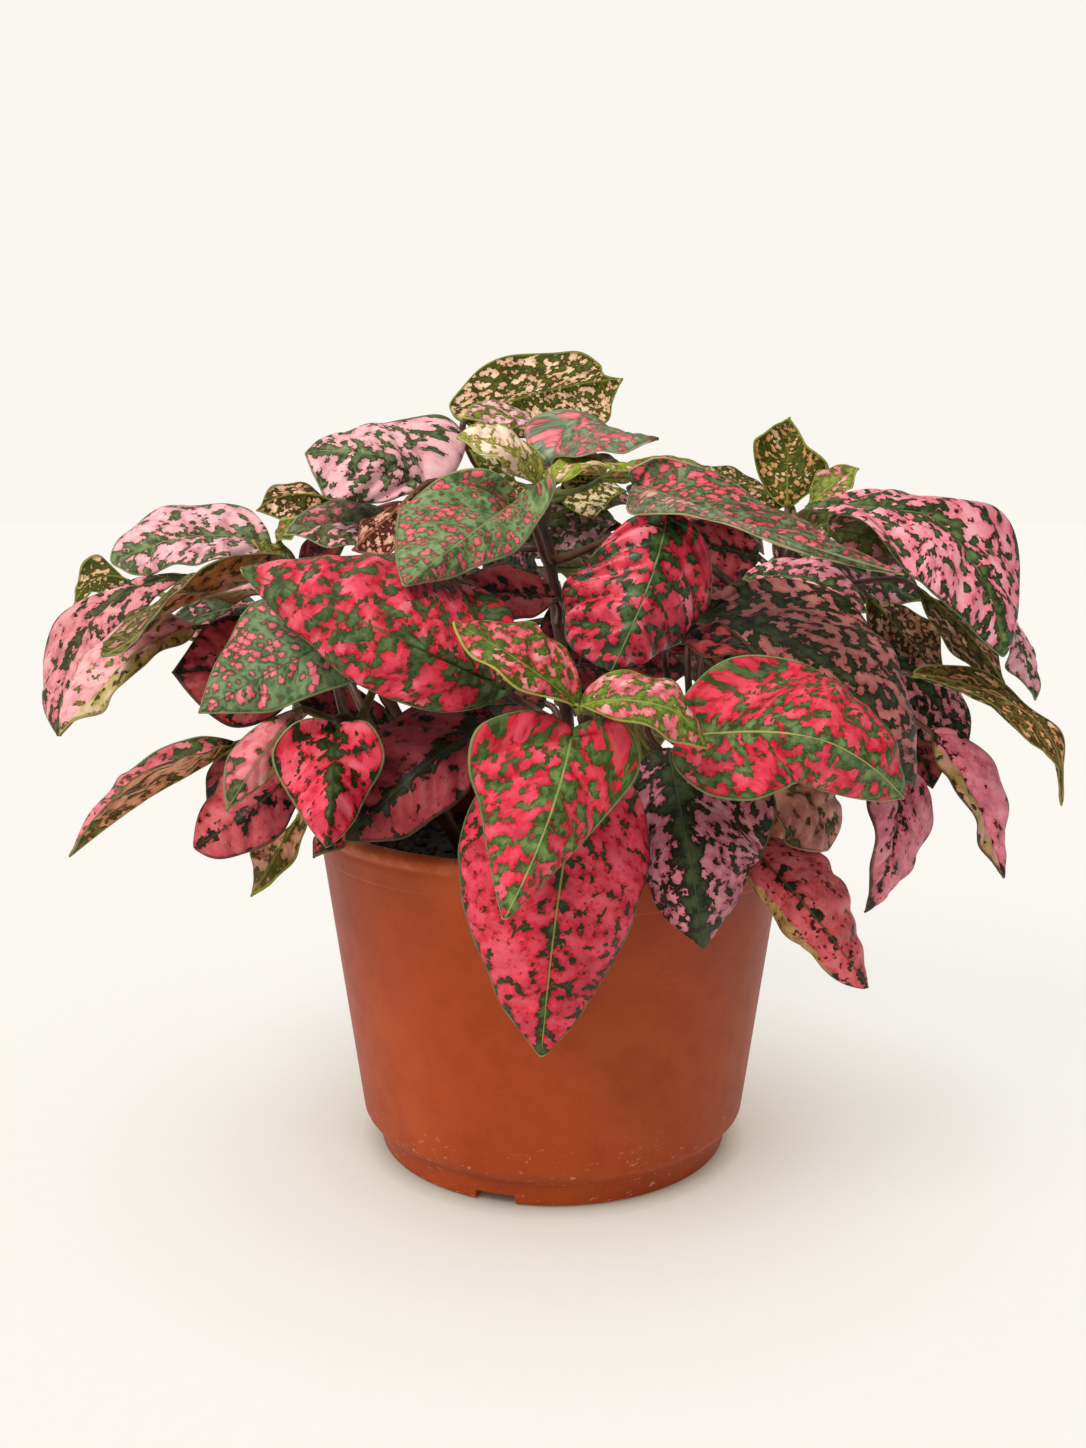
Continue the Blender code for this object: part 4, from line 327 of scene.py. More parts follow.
# Full-grown leaves, each on its own petiole; foot is how far up its stem it grows.
LEAVES = [
    leaf("leaf_front_low", "front", 0.75, "ovate", "red",
         (6, -74, 111), [(1, -84, 90)], (-3, -74, 49), [(13, -73, 109), (18, -72, 102), (19, -72, 91), (17, -72, 80), (10, -73, 65), (3, -73, 55)],
         [(-11, -74, 110), (-17, -74, 103), (-20, -74, 95), (-20, -74, 89), (-18, -74, 78), (-12, -74, 62)], camber=22, wave=0.5),
    leaf("leaf_front_heart", "front", 0.90, "heart", "redgreen",
         (3, -84, 119), [(-2, -98, 104)], (-10, -98, 86), [(7, -85, 122), (13, -86, 122), (16, -86, 116), (15, -86, 110), (7, -89, 101), (-2, -94, 92)],
         [(-1, -86, 123), (-7, -88, 124), (-15, -90, 121), (-17, -90, 114), (-15, -91, 107), (-13, -93, 96)], camber=16, wave=0.8),
    leaf("leaf_centre_hanging", "centre", 0.84, "heart", "red",
         (25, -36, 160), [(20, -52, 146)], (12, -54, 128), [(30, -37, 160), (34, -38, 154), (35, -38, 147), (33, -39, 139), (25, -44, 132)],
         [(19, -38, 159), (10, -40, 154), (3, -42, 146), (2, -42, 140), (4, -45, 133)], camber=20, wave=0.8),
    leaf("leaf_left_large", "front", 0.75, "ovate", "red",
         (-11, -62, 125), [(-33, -76, 138)], (-67, -54, 150), [(-16, -66, 122), (-26, -70, 122), (-36, -69, 125), (-48, -65, 132), (-60, -59, 142)],
         [(-8, -56, 133), (-12, -51, 143), (-25, -48, 149), (-38, -49, 153), (-53, -51, 152), (-62, -53, 151)], camber=14, wave=0.5),
    leaf("leaf_left_green", "left", 0.90, "ovate", "green",
         (-38, -36, 138), [(-55, -52, 131)], (-77, -55, 119), [(-41, -51, 128), (-49, -56, 124), (-59, -56, 120), (-69, -55, 119)],
         [(-50, -40, 142), (-65, -42, 143), (-73, -45, 133), (-76, -51, 124)], camber=10),
    leaf("leaf_centre_heart_green", "centre", 0.84, "heart", "green",
         (-9, -38, 164), [(-21, -58, 155)], (-31, -68, 147), [(-5, -44, 166), (0, -49, 169), (0, -50, 165), (-5, -51, 157), (-14, -56, 151), (-24, -62, 148)],
         [(-10, -40, 168), (-16, -43, 171), (-25, -44, 169), (-33, -48, 163), (-34, -55, 156), (-33, -62, 151)], camber=16),
    leaf("leaf_back_pale_left", "centre", 0.88, "ovate", "pale",
         (-31, -2, 166), [(-43, -8, 175)], (-61, -5, 176), [(-36, -7, 166), (-42, -10, 164), (-49, -12, 164), (-55, -11, 165), (-58, -9, 170), (-60, -7, 174)],
         [(-25, 5, 172), (-23, 10, 180), (-29, 12, 186), (-39, 10, 185), (-51, 4, 182), (-58, -2, 179)], camber=12),
    leaf("leaf_left_grey", "left_back", 0.80, "lance", "pale",
         (-39, 2, 158), [(-53, -2, 159)], (-67, -4, 156), (-50, -14, 153),
         (-54, 12, 165)),
    leaf("leaf_brown_under", "centre", 0.94, "lance", "olive",
         (-32, -20, 167), [(-39, -24, 160)], (-47, -26, 153), (-45, -18, 160),
         (-35, -30, 154)),
    leaf("leaf_top_back", "back", 0.97, "ovate", "olive",
         (-23, 28, 186), [(-2, 38, 194)], (19, 32, 197), [(-14, 28, 182), (-1, 28, 182), (10, 29, 183), (15, 30, 186), (16, 31, 191)],
         [(-28, 34, 190), (-25, 41, 196), (-19, 48, 202), (-6, 52, 206), (6, 48, 206), (13, 42, 202), (14, 38, 199)], camber=20),
    leaf("leaf_top_right_green", "centre", 0.97, "heart", "greenred",
         (0, -4, 173), [(7, -12, 178)], (25, -14, 179), [(-5, -1, 178), (-7, 1, 181), (-5, 3, 185), (2, 4, 187), (9, 2, 186), (15, -2, 182), (21, -9, 180)],
         [(1, -13, 175), (5, -24, 175), (11, -23, 175), (17, -20, 176), (21, -17, 177)], camber=15),
    leaf("leaf_right_long", "right_back", 0.75, "ovate", "greenred",
         (19, -24, 168), [(32, -44, 163), (50, -56, 156)], (73, -60, 149), [(17, -25, 171), (20, -27, 173), (26, -29, 174), (41, -32, 168), (53, -36, 161), (64, -47, 154)],
         [(17, -31, 165), (17, -37, 161), (24, -48, 162), (35, -56, 159), (47, -57, 155), (61, -58, 151)], camber=12),
    leaf("leaf_right_large", "right_back", 0.86, "ovate", "pink",
         (64, 6, 162), [(84, 0, 163), (98, 0, 158), (108, -4, 143)], (112, -6, 126), [(73, 10, 166), (86, 14, 167), (101, 17, 165), (115, 18, 163), (121, 16, 156), (121, 10, 143), (117, 1, 132)],
         [(70, -7, 161), (75, -15, 159), (80, -20, 152), (87, -19, 145), (97, -15, 138), (106, -9, 130)], camber=14, wave=0.5),
    leaf("leaf_right_upright", "right_back", 0.90, "ovate", "olive",
         (63, 26, 163), [(64, 34, 175)], (67, 50, 188), [(69, 26, 167), (73, 26, 170), (73, 26, 175), (69, 31, 179), (68, 41, 184)],
         [(59, 28, 166), (55, 31, 173), (54, 32, 180), (59, 37, 184)]),
    leaf("leaf_right_big", "right", 0.97, "ovate", "red",
         (29, -66, 116), [(45, -88, 120), (57, -88, 116)], (70, -78, 105), [(24, -66, 118), (28, -66, 126), (36, -66, 132), (47, -66, 132), (59, -67, 127), (67, -71, 119), (70, -75, 110)],
         [(24, -74, 112), (29, -81, 107), (37, -84, 106), (44, -84, 108), (48, -83, 109), (54, -82, 107), (63, -80, 105)], camber=20, wave=0.5),
    leaf("leaf_right_low_mauve", "right", 0.80, "ovate", "mauve",
         (25, -50, 110), [(27, -76, 94)], (31, -72, 72), [(38, -50, 107), (46, -56, 103), (47, -60, 97), (44, -61, 88), (37, -66, 79)],
         [(20, -51, 108), (14, -57, 100), (16, -64, 92), (19, -65, 84), (24, -68, 77)], camber=16),
    leaf("leaf_right_low_red", "right", 0.55, "ovate", "dusky",
         (43, -46, 88), [(54, -60, 78)], (70, -54, 57), [(48, -45, 88), (56, -44, 87), (63, -44, 82), (67, -45, 74), (69, -49, 64)],
         [(43, -48, 84), (45, -50, 79), (51, -52, 70), (59, -53, 62), (66, -53, 57)], camber=25),
    leaf("leaf_right_dry", "right", 0.50, "ovate", "brown",
         (48, -36, 97), [(57, -42, 98)], (63, -40, 85), (68, -28, 92),
         (51, -50, 90), camber=40),
    leaf("leaf_right_hang_dusky", "right_low", 0.80, "ovate", "dusky",
         (90, 4, 97), [(86, -6, 77)], (80, -6, 60), [(98, 7, 90), (100, 8, 83), (98, 7, 75), (91, 2, 66)],
         [(80, -7, 92), (80, -12, 83), (80, -10, 71)], camber=20),
    leaf("leaf_right_hang_pink", "right_low", 0.97, "ovate", "dusky",
         (100, 11, 104), [(109, 4, 88)], (118, 2, 67), [(105, 12, 105), (110, 13, 102), (119, 14, 94), (121, 12, 84), (120, 8, 75)],
         [(99, 3, 97), (102, -2, 94), (106, -6, 85), (111, -3, 75)], camber=20),
    leaf("leaf_right_far_narrow", "right_low", 0.97, "lance", "olive",
         (93, 6, 120), [(113, -2, 115), (125, -6, 105)], (129, -6, 88), [(95, 2, 120), (101, -8, 119), (110, -14, 113), (120, -12, 104), (126, -10, 98), (128, -7, 91)],
         [(97, 6, 123), (108, 6, 122), (118, 6, 117), (127, 5, 110), (131, 2, 104), (131, -2, 94)]),
    leaf("leaf_right_mid_olive", "right_back", 0.82, "lance", "olive",
         (99, 26, 141), [(112, 20, 128)], (122, 16, 113), (104, 12, 127),
         (119, 32, 131)),
    leaf("leaf_right_small_tip", "right_back", 0.95, "lance", "pink",
         (125, 38, 135), [(131, 36, 124)], (134, 31, 110), (137, 43, 121),
         (125, 28, 119)),
    leaf("leaf_right_shade", "right", 0.75, "ovate", "mauve",
         (36, -18, 138), [(60, -44, 128)], (82, -40, 100), [(39, -17, 143), (52, -16, 146), (66, -16, 143), (78, -18, 133), (84, -25, 120), (84, -33, 108)],
         (46, -52, 118), camber=16),
    leaf("leaf_right_pink_back", "right", 0.60, "ovate", "pink",
         (49, 5, 145), [(65, -6, 145)], (78, -6, 137), (66, 8, 150),
         (60, -14, 138)),
    leaf("leaf_left_low_red", "left", 0.62, "ovate", "dusky",
         (-55, -36, 106), [(-66, -52, 98)], (-80, -50, 88), [(-57, -48, 98), (-61, -52, 91), (-69, -52, 87), (-75, -51, 86)],
         [(-61, -39, 108), (-72, -42, 106), (-77, -43, 100), (-80, -47, 93)], camber=12),
    leaf("leaf_left_heart", "left", 0.95, "heart", "red",
         (-48, -52, 115), [(-46, -70, 106)], (-47, -74, 94), [(-44, -55, 117), (-39, -60, 117), (-36, -62, 111), (-39, -64, 104), (-43, -69, 97)],
         [(-51, -56, 118), (-56, -60, 117), (-60, -62, 111), (-57, -64, 104), (-52, -69, 98)], camber=14, wave=0.4),
    leaf("leaf_left_dark", "front", 0.55, "ovate", "dusky",
         (-14, -46, 117), [(-28, -58, 108)], (-45, -60, 92), [(-16, -60, 108), (-21, -64, 101), (-31, -63, 94), (-39, -61, 92)],
         [(-19, -44, 120), (-29, -42, 119), (-40, -44, 113), (-45, -52, 101)], camber=14),
    leaf("leaf_left_narrow_pink", "left", 0.97, "ovate", "pink",
         (-56, -50, 119), [(-63, -60, 110)], (-70, -62, 99), (-60, -54, 107),
         (-69, -57, 112)),
    leaf("leaf_left_far_narrow", "left", 0.84, "lance", "redgreen",
         (-76, -23, 107), [(-83, -32, 103), (-94, -44, 97)], (-111, -42, 84), [(-78, -38, 108), (-82, -51, 109), (-88, -58, 107), (-95, -56, 101), (-103, -50, 94)],
         [(-81, -26, 109), (-86, -28, 109), (-95, -30, 106), (-104, -32, 98), (-108, -36, 92)], camber=5, wave=0.5),
    leaf("leaf_left_low_under", "left", 0.50, "lance", "olive",
         (-61, -22, 90), [(-66, -28, 81)], (-73, -26, 70), (-75, -22, 78),
         (-61, -30, 82)),
    leaf("leaf_centre_dusky", "centre", 0.70, "ovate", "dusky",
         (0, -28, 142), [(-11, -38, 144)], (-25, -44, 144), (-12, -46, 138),
         (-11, -32, 150)),
    leaf("leaf_left_pale_back", "left_back", 0.97, "ovate", "pale",
         (-77, 30, 153), [(-98, 26, 155)], (-117, 20, 148), [(-82, 18, 149), (-90, 12, 149), (-101, 14, 147), (-110, 17, 145), (-115, 19, 147)],
         [(-82, 35, 161), (-91, 39, 164), (-101, 40, 164), (-111, 36, 161), (-116, 29, 156), (-118, 23, 151)], camber=16),
    leaf("leaf_left_far_large", "left_back", 0.97, "ovate", "mauve",
         (-97, 16, 145), [(-119, 8, 134)], (-127, 0, 105), (-107, -6, 123),
         [(-106, 16, 145), (-118, 16, 141), (-129, 16, 135), (-135, 16, 124), (-135, 13, 115), (-131, 6, 108)], camber=14),
    leaf("leaf_left_folded_pale", "left_back", 0.90, "ovate", "palepink",
         (-87, -14, 134), [(-98, -18, 130), (-106, -22, 122)], (-118, -24, 109), [(-89, -20, 130), (-95, -26, 128), (-101, -30, 121), (-105, -29, 116), (-111, -28, 114)],
         [(-93, -8, 135), (-103, -4, 137), (-112, -6, 131), (-117, -11, 124), (-119, -16, 118)]),
    leaf("leaf_left_twisted", "left_back", 0.85, "lance", "greenred",
         (-62, -12, 147), [(-73, -26, 145), (-87, -32, 140), (-96, -34, 133)], (-104, -34, 129), [(-72, -10, 150), (-86, -9, 148), (-96, -8, 142), (-103, -15, 137), (-105, -27, 132)],
         [(-64, -24, 152), (-70, -37, 152), (-78, -44, 150), (-84, -43, 145), (-92, -40, 136), (-98, -37, 131)], camber=5),
    leaf("leaf_left_sliver", "left", 0.76, "lance", "palepink",
         (-70, -8, 142), [(-81, -6, 142)], (-91, -6, 140), (-79, -14, 140),
         (-82, 4, 143)),
    leaf("leaf_left_shade_red", "left", 0.92, "ovate", "dusky",
         (-59, -14, 127), [(-74, -26, 126)], (-89, -30, 125), (-74, -32, 112),
         (-79, -18, 137), camber=15),
    leaf("leaf_right_back_shade", "right_back", 0.90, "ovate", "olive",
         (88, 36, 138), [(99, 36, 126)], (110, 34, 114), (92, 26, 120),
         (110, 46, 129)),
    leaf("leaf_right_back_mauve", "right_low", 0.97, "ovate", "mauve",
         (92, 26, 122), [(104, 25, 111)], (114, 25, 98), (115, 36, 112),
         (97, 16, 103)),
    leaf("leaf_mid_back_pale", "back", 0.80, "ovate", "pale",
         (17, 40, 159), [(3, 34, 157)], (-10, 30, 149), (7, 24, 149),
         (1, 46, 164)),
    leaf("leaf_back_high", "back", 0.70, "ovate", "pale",
         (2, 33, 150), [(5, 67, 158)], (7, 98, 138), (-14, 60, 151),
         (23, 58, 151)),
    leaf("leaf_back_right_high", "back", 0.60, "ovate", "red",
         (18, 31, 142), [(34, 59, 147)], (49, 85, 126), (15, 62, 138),
         (46, 44, 144)),
    leaf("leaf_back_left_high", "back", 0.70, "ovate", "pink",
         (-26, 38, 146), [(-40, 60, 149)], (-55, 81, 130), (-51, 46, 147),
         (-23, 65, 141)),
    leaf("leaf_back_right_side", "right_back", 0.55, "ovate", "mauve",
         (40, 29, 128), [(63, 46, 129)], (84, 61, 106), (48, 56, 125),
         (68, 28, 125)),
    leaf("leaf_back_left_side", "left_back", 0.55, "ovate", "greenred",
         (-38, 30, 122), [(-58, 46, 120)], (-77, 60, 98), (-64, 28, 117),
         (-43, 55, 117)),
    leaf("leaf_back_low", "back", 0.35, "ovate", "dusky",
         (12, 36, 112), [(23, 70, 106)], (30, 93, 76), (2, 65, 104),
         (36, 53, 104)),
    leaf("leaf_back_left_mid", "back", 0.50, "ovate", "red",
         (-10, 37, 124), [(-19, 67, 120)], (-26, 92, 92), (-33, 54, 117),
         (-1, 64, 117)),
    leaf("leaf_back_right_low", "right_low", 0.35, "ovate", "red",
         (28, 34, 104), [(48, 57, 98)], (62, 74, 68), (29, 61, 96),
         (55, 39, 96)),
    leaf("leaf_back_left_low", "left_back", 0.30, "ovate", "dusky",
         (-29, 30, 98), [(-51, 53, 90)], (-65, 68, 62), (-56, 33, 89),
         (-31, 57, 89)),
]

# Young leaves near the shoot tips, grown in one with their stem.
YOUNG = [
    leaf("young_front_young_left", "front", 0.95, "ovate", "young",
         (4, -86, 125), [(-7, -90, 134)], (-20, -84, 141), [(-1, -91, 127), (-8, -94, 130), (-13, -92, 133), (-18, -88, 137)],
         [(4, -83, 130), (1, -81, 136), (-4, -80, 140), (-11, -81, 141), (-16, -82, 141)]),
    leaf("young_front_young_right", "front", 0.95, "ovate", "youngpink",
         (5, -86, 125), [(12, -92, 127), (22, -93, 125)], (29, -88, 117), [(6, -85, 128), (10, -85, 131), (18, -84, 131), (24, -85, 128), (27, -86, 122)],
         [(9, -92, 124), (15, -96, 123), (23, -93, 119)]),
    leaf("young_left_back_under", "left_back", 0.90, "ovate", "olive",
         (-57, 22, 164), [(-68, 18, 166)], (-77, 14, 162), (-71, 28, 170),
         (-67, 8, 159), camber=25),
    leaf("young_top_young_left", "centre", 0.99, "ovate", "young",
         (-4, -12, 168), [(-11, -20, 176)], (-23, -18, 179), [(-8, -20, 170), (-13, -26, 173), (-18, -23, 176)],
         [(-3, -12, 173), (-6, -12, 178), (-12, -12, 182), (-16, -13, 183), (-21, -16, 181)]),
    leaf("young_top_young_back", "back", 0.97, "lance", "youngpink",
         (-2, 20, 183), [(-12, 14, 186)], (-23, 8, 185), (-13, 6, 182),
         (-15, 24, 190)),
    leaf("young_top_young_right", "centre", 0.95, "ovate", "young",
         (-2, -12, 170), [(9, -20, 173)], (22, -20, 171), [(0, -12, 173), (6, -12, 176), (12, -13, 175), (17, -16, 173)],
         [(0, -22, 169), (4, -30, 170), (10, -28, 172), (16, -24, 171)]),
    leaf("young_right_tip_pale", "right_back", 0.99, "ovate", "youngpink",
         (67, 14, 164), [(73, 16, 169)], (80, 18, 173), (73, 22, 174),
         (75, 10, 166)),
    leaf("young_right_back_olive", "right_back", 0.97, "lance", "olive",
         (63, 30, 164), [(51, 34, 169)], (37, 38, 176), (54, 46, 173),
         (48, 22, 164)),
    leaf("young_right_narrow_red", "right", 0.80, "lance", "dusky",
         (27, -30, 132), [(36, -40, 133)], (46, -46, 130), (35, -32, 137),
         (32, -48, 131)),
    leaf("young_left_tiny_olive", "left_back", 0.97, "ovate", "olive",
         (-119, 42, 142), [(-127, 40, 143)], (-133, 36, 136), [(-125, 45, 147), (-129, 46, 150), (-133, 45, 147), (-134, 42, 142)],
         [(-122, 36, 140), (-126, 34, 140), (-131, 35, 137)]),
    leaf("young_left_back_glow", "back", 0.90, "lance", "olive",
         (-7, 16, 167), [(-15, 18, 173)], (-22, 20, 178), (-14, 26, 176),
         (-14, 10, 167)),
    leaf("young_mid_back_glow", "back", 0.90, "ovate", "olive",
         (2, 22, 165), [(11, 26, 168)], (20, 28, 167), (12, 14, 161),
         (12, 36, 174)),
    leaf("young_left_curl_up", "left_back", 0.95, "lance", "young",
         (-70, 10, 153), [(-69, 6, 157)], (-62, 4, 161), (-71, 10, 158),
         (-65, 0, 156)),
    leaf("young_left_curl_low", "left_back", 0.95, "ovate", "youngpink",
         (-69, 10, 152), [(-73, 4, 152)], (-76, 2, 155), (-72, 0, 150),
         (-74, 8, 154)),
    leaf("young_left_peek", "left", 0.70, "lance", "dusky",
         (-43, -46, 99), [(-49, -52, 92)], (-53, -55, 87), (-46, -54, 90),
         (-52, -46, 93)),
    leaf("young_inner_right_red", "right_back", 0.85, "ovate", "dusky",
         (55, 24, 150), [(43, 20, 153)], (31, 16, 157), (42, 12, 142),
         (46, 28, 160), camber=8),
    leaf("young_inner_right_high", "right_back", 0.78, "ovate", "mauve",
         (72, 14, 156), [(79, 12, 156)], (89, 8, 151), (81, 18, 162),
         (77, 8, 149), camber=8),
    leaf("young_inner_right_mid", "right_back", 0.70, "ovate", "pink",
         (81, 50, 147), [(93, 54, 143)], (108, 54, 136), (98, 60, 150),
         (90, 46, 135), camber=8),
    leaf("young_inner_left_high", "left_back", 0.95, "ovate", "dusky",
         (-67, 20, 149), [(-62, 20, 152)], (-55, 20, 154), (-63, 26, 157),
         (-59, 14, 148), camber=6),
    leaf("young_inner_centre_right", "centre", 0.50, "ovate", "dusky",
         (7, 2, 123), [(19, 6, 122)], (36, 8, 121), (20, 12, 130),
         (20, 0, 114), camber=8),
    leaf("young_inner_centre_left", "centre", 0.40, "ovate", "dusky",
         (-2, 4, 113), [(-18, 8, 112)], (-38, 8, 110), (-19, 2, 103),
         (-18, 14, 120), camber=8),
    leaf("young_inner_left_low", "left_back", 0.40, "ovate", "dusky",
         (-42, 14, 106), [(-54, 12, 109)], (-67, 8, 113), (-54, 6, 103),
         (-54, 18, 115), camber=8),
    leaf("young_inner_centre_high", "centre", 0.75, "ovate", "mauve",
         (-4, 4, 147), [(-10, 8, 148)], (-16, 10, 150), (-10, 2, 142),
         (-10, 12, 154), camber=6),
    leaf("young_inner_right_low", "right_low", 0.75, "ovate", "dusky",
         (96, 38, 106), [(103, 38, 96)], (108, 36, 84), (112, 44, 97),
         (95, 32, 92), camber=8),
    leaf("young_inner_left_side", "left", 0.66, "ovate", "dusky",
         (-71, -16, 104), [(-78, -16, 99)], (-85, -18, 92), (-74, -22, 94),
         (-83, -10, 103), camber=6),
    leaf("young_inner_left_pale", "left_back", 0.80, "ovate", "pink",
         (-77, 8, 138), [(-88, 6, 136)], (-100, 4, 131), (-88, 0, 130),
         (-90, 12, 141), camber=8),
    leaf("young_inner_centre_mid", "centre", 0.75, "ovate", "dusky",
         (2, 20, 139), [(4, 18, 125)], (6, 14, 108), (13, 18, 122),
         (-4, 18, 124), camber=6),
    leaf("young_inner_right_glow", "right_back", 0.80, "ovate", "pink",
         (61, 32, 149), [(68, 32, 154)], (77, 30, 163), (63, 34, 159),
         (73, 28, 152), camber=4),
    leaf("young_back_young_mid", "back", 0.95, "ovate", "young",
         (3, 22, 172), [(6, 40, 180)], (8, 57, 176), (-5, 37, 173),
         (15, 35, 173)),
    leaf("young_back_young_left", "back", 0.90, "ovate", "youngpink",
         (-21, 12, 168), [(-36, 21, 174)], (-52, 30, 168), (-38, 11, 168),
         (-28, 28, 168)),
    leaf("young_back_young_right", "back", 0.97, "ovate", "young",
         (12, 7, 170), [(30, 16, 176)], (46, 24, 168), (21, 23, 170),
         (31, 4, 170)),
    leaf("young_rear_upper_right", "back", 0.75, "ovate", "red",
         (25, 26, 153), [(43, 45, 162)], (63, 65, 149), (30, 52, 155),
         (50, 31, 155)),
    leaf("young_rear_upper_left", "back", 0.80, "ovate", "red",
         (-25, 20, 158), [(-41, 32, 164)], (-58, 46, 154), (-46, 20, 160),
         (-30, 40, 156)),
    leaf("young_rear_crown", "back", 0.85, "ovate", "pale",
         (6, 35, 165), [(10, 55, 170)], (14, 79, 160), (-4, 55, 164),
         (23, 50, 164)),
    leaf("young_rear_crown_left", "back", 0.80, "ovate", "greenred",
         (-18, 36, 161), [(-26, 54, 164)], (-38, 77, 150), (-38, 46, 159),
         (-13, 59, 159)),
    leaf("young_rear_mid_right", "back", 0.45, "ovate", "dusky",
         (24, 34, 123), [(40, 57, 123)], (56, 80, 101), (25, 61, 119),
         (49, 44, 119)),
    leaf("young_rear_mid_left", "back", 0.55, "ovate", "mauve",
         (-23, 35, 131), [(-39, 58, 133)], (-54, 80, 112), (-47, 45, 128),
         (-24, 61, 128)),
    leaf("young_rear_low_left", "back", 0.25, "ovate", "red",
         (-9, 39, 99), [(-16, 68, 92)], (-21, 90, 64), (-29, 56, 90),
         (1, 63, 90)),
]


# ---------------------------------------------------------------------------
# Node helpers
# ---------------------------------------------------------------------------
def srgb(code):
    """Linear colour from a hex code."""
    out = []
    for k in (0, 2, 4):
        c = int(code[k:k + 2], 16) / 255.0
        out.append(c / 12.92 if c <= 0.04045 else ((c + 0.055) / 1.055) ** 2.4)
    return (*out, 1.0)


class Tree:
    """Short names for building a material's node tree."""

    def __init__(self, name):
        self.mat = bpy.data.materials.new(name)
        self.mat.use_nodes = True
        self.nodes = self.mat.node_tree.nodes
        self.links = self.mat.node_tree.links
        self.shader = self.nodes["Principled BSDF"]
        self.output = self.nodes["Material Output"]

    def plug(self, value, socket):
        if isinstance(value, bpy.types.NodeSocket):
            self.links.new(value, socket)
        else:
            socket.default_value = value

    def attribute(self, name, out="Vector"):
        node = self.nodes.new("ShaderNodeAttribute")
        node.attribute_name = name
        return node.outputs[out]

    def coords(self, out="Object"):
        return self.nodes.new("ShaderNodeTexCoord").outputs[out]

    def split(self, vector):
        node = self.nodes.new("ShaderNodeSeparateXYZ")
        self.plug(vector, node.inputs[0])
        return node.outputs

    def math(self, op, a, b=None, c=None, clamp=False):
        node = self.nodes.new("ShaderNodeMath")
        node.operation = op
        node.use_clamp = clamp
        self.plug(a, node.inputs[0])
        if b is not None:
            self.plug(b, node.inputs[1])
        if c is not None:
            self.plug(c, node.inputs[2])
        return node.outputs[0]

    def mul(self, a, b):
        return self.math("MULTIPLY", a, b)

    def add(self, a, b):
        return self.math("ADD", a, b)

    def band(self, value, low, high, out_low=0.0, out_high=1.0):
        """Smooth step of value from low to high."""
        node = self.nodes.new("ShaderNodeMapRange")
        node.interpolation_type = "SMOOTHSTEP"
        node.inputs["From Min"].default_value = low
        node.inputs["From Max"].default_value = high
        node.inputs["To Min"].default_value = out_low
        node.inputs["To Max"].default_value = out_high
        self.plug(value, node.inputs["Value"])
        return node.outputs["Result"]

    def place(self, vector, scale=(1, 1, 1), move=(0, 0, 0), turn=(0, 0, 0)):
        node = self.nodes.new("ShaderNodeMapping")
        node.inputs["Scale"].default_value = scale
        node.inputs["Location"].default_value = move
        node.inputs["Rotation"].default_value = turn
        self.plug(vector, node.inputs["Vector"])
        return node.outputs["Vector"]

    def noise(self, vector, scale, detail=2.0, rough=0.5, distortion=0.0):
        node = self.nodes.new("ShaderNodeTexNoise")
        self.plug(vector, node.inputs["Vector"])
        node.inputs["Scale"].default_value = scale
        node.inputs["Detail"].default_value = detail
        node.inputs["Roughness"].default_value = rough
        node.inputs["Distortion"].default_value = distortion
        return node.outputs["Fac"]

    def cells(self, vector, scale, feature="F1", random=1.0):
        node = self.nodes.new("ShaderNodeTexVoronoi")
        node.feature = feature
        self.plug(vector, node.inputs["Vector"])
        node.inputs["Scale"].default_value = scale
        node.inputs["Randomness"].default_value = random
        return node

    def ramp(self, value, stops):
        node = self.nodes.new("ShaderNodeValToRGB")
        items = node.color_ramp.elements
        while len(items) > 1:
            items.remove(items[-1])
        items[0].position, items[0].color = stops[0][0], stops[0][1]
        for position, colour in stops[1:]:
            item = items.new(position)
            item.color = colour
        self.plug(value, node.inputs["Fac"])
        return node.outputs["Color"]

    def mix(self, fac, a, b, how="MIX"):
        node = self.nodes.new("ShaderNodeMix")
        node.data_type = "RGBA"
        node.blend_type = how
        self.plug(fac, node.inputs[0])
        self.plug(a, node.inputs[6])
        self.plug(b, node.inputs[7])
        return node.outputs[2]

    def bump(self, height, strength, distance, normal=None):
        node = self.nodes.new("ShaderNodeBump")
        node.inputs["Strength"].default_value = strength
        node.inputs["Distance"].default_value = distance
        self.plug(height, node.inputs["Height"])
        if normal is not None:
            self.plug(normal, node.inputs["Normal"])
        return node.outputs["Normal"]


# ---------------------------------------------------------------------------
# Leaf finishes.  A finish is one ramp read by a field: below zero the field is
# green tissue, above zero it is a coloured blotch.  The field is noise, drawn
# out along the side veins, with green kept to the midrib, the veins and the
# margin.  Every leaf has its own seed in the z of its "flat" coordinates.
# ---------------------------------------------------------------------------
BASE = dict(
    green=("6b7a4a", "4b5c31", "2c3a19"),    # light, plain, outline
    pink=("a8142c", "dc2f49", "ee5a72"),     # deep, plain, light
    haze="f88c9a", cloud=0.55, vein="8c9a5c", sidetone="", margin="8f9a66",
    cover=0.30, wide=1.0, grit=6.4, mid=1.0, midw=2.6, side=0.10, rim=0.75, size=1.0, jag=0.55, stretch=1.0,
    dots=0.55, spots=0.0, spotr=0.30, spotf=0.50, midline=0.55, flank=0.45, sideline=0.15, sidew=0.10,
    rough=0.48, gloss=0.17, net=0.5, base=0.0, basew=0.25, tip=0.0, value=1.0, half=None, dry=None,
)
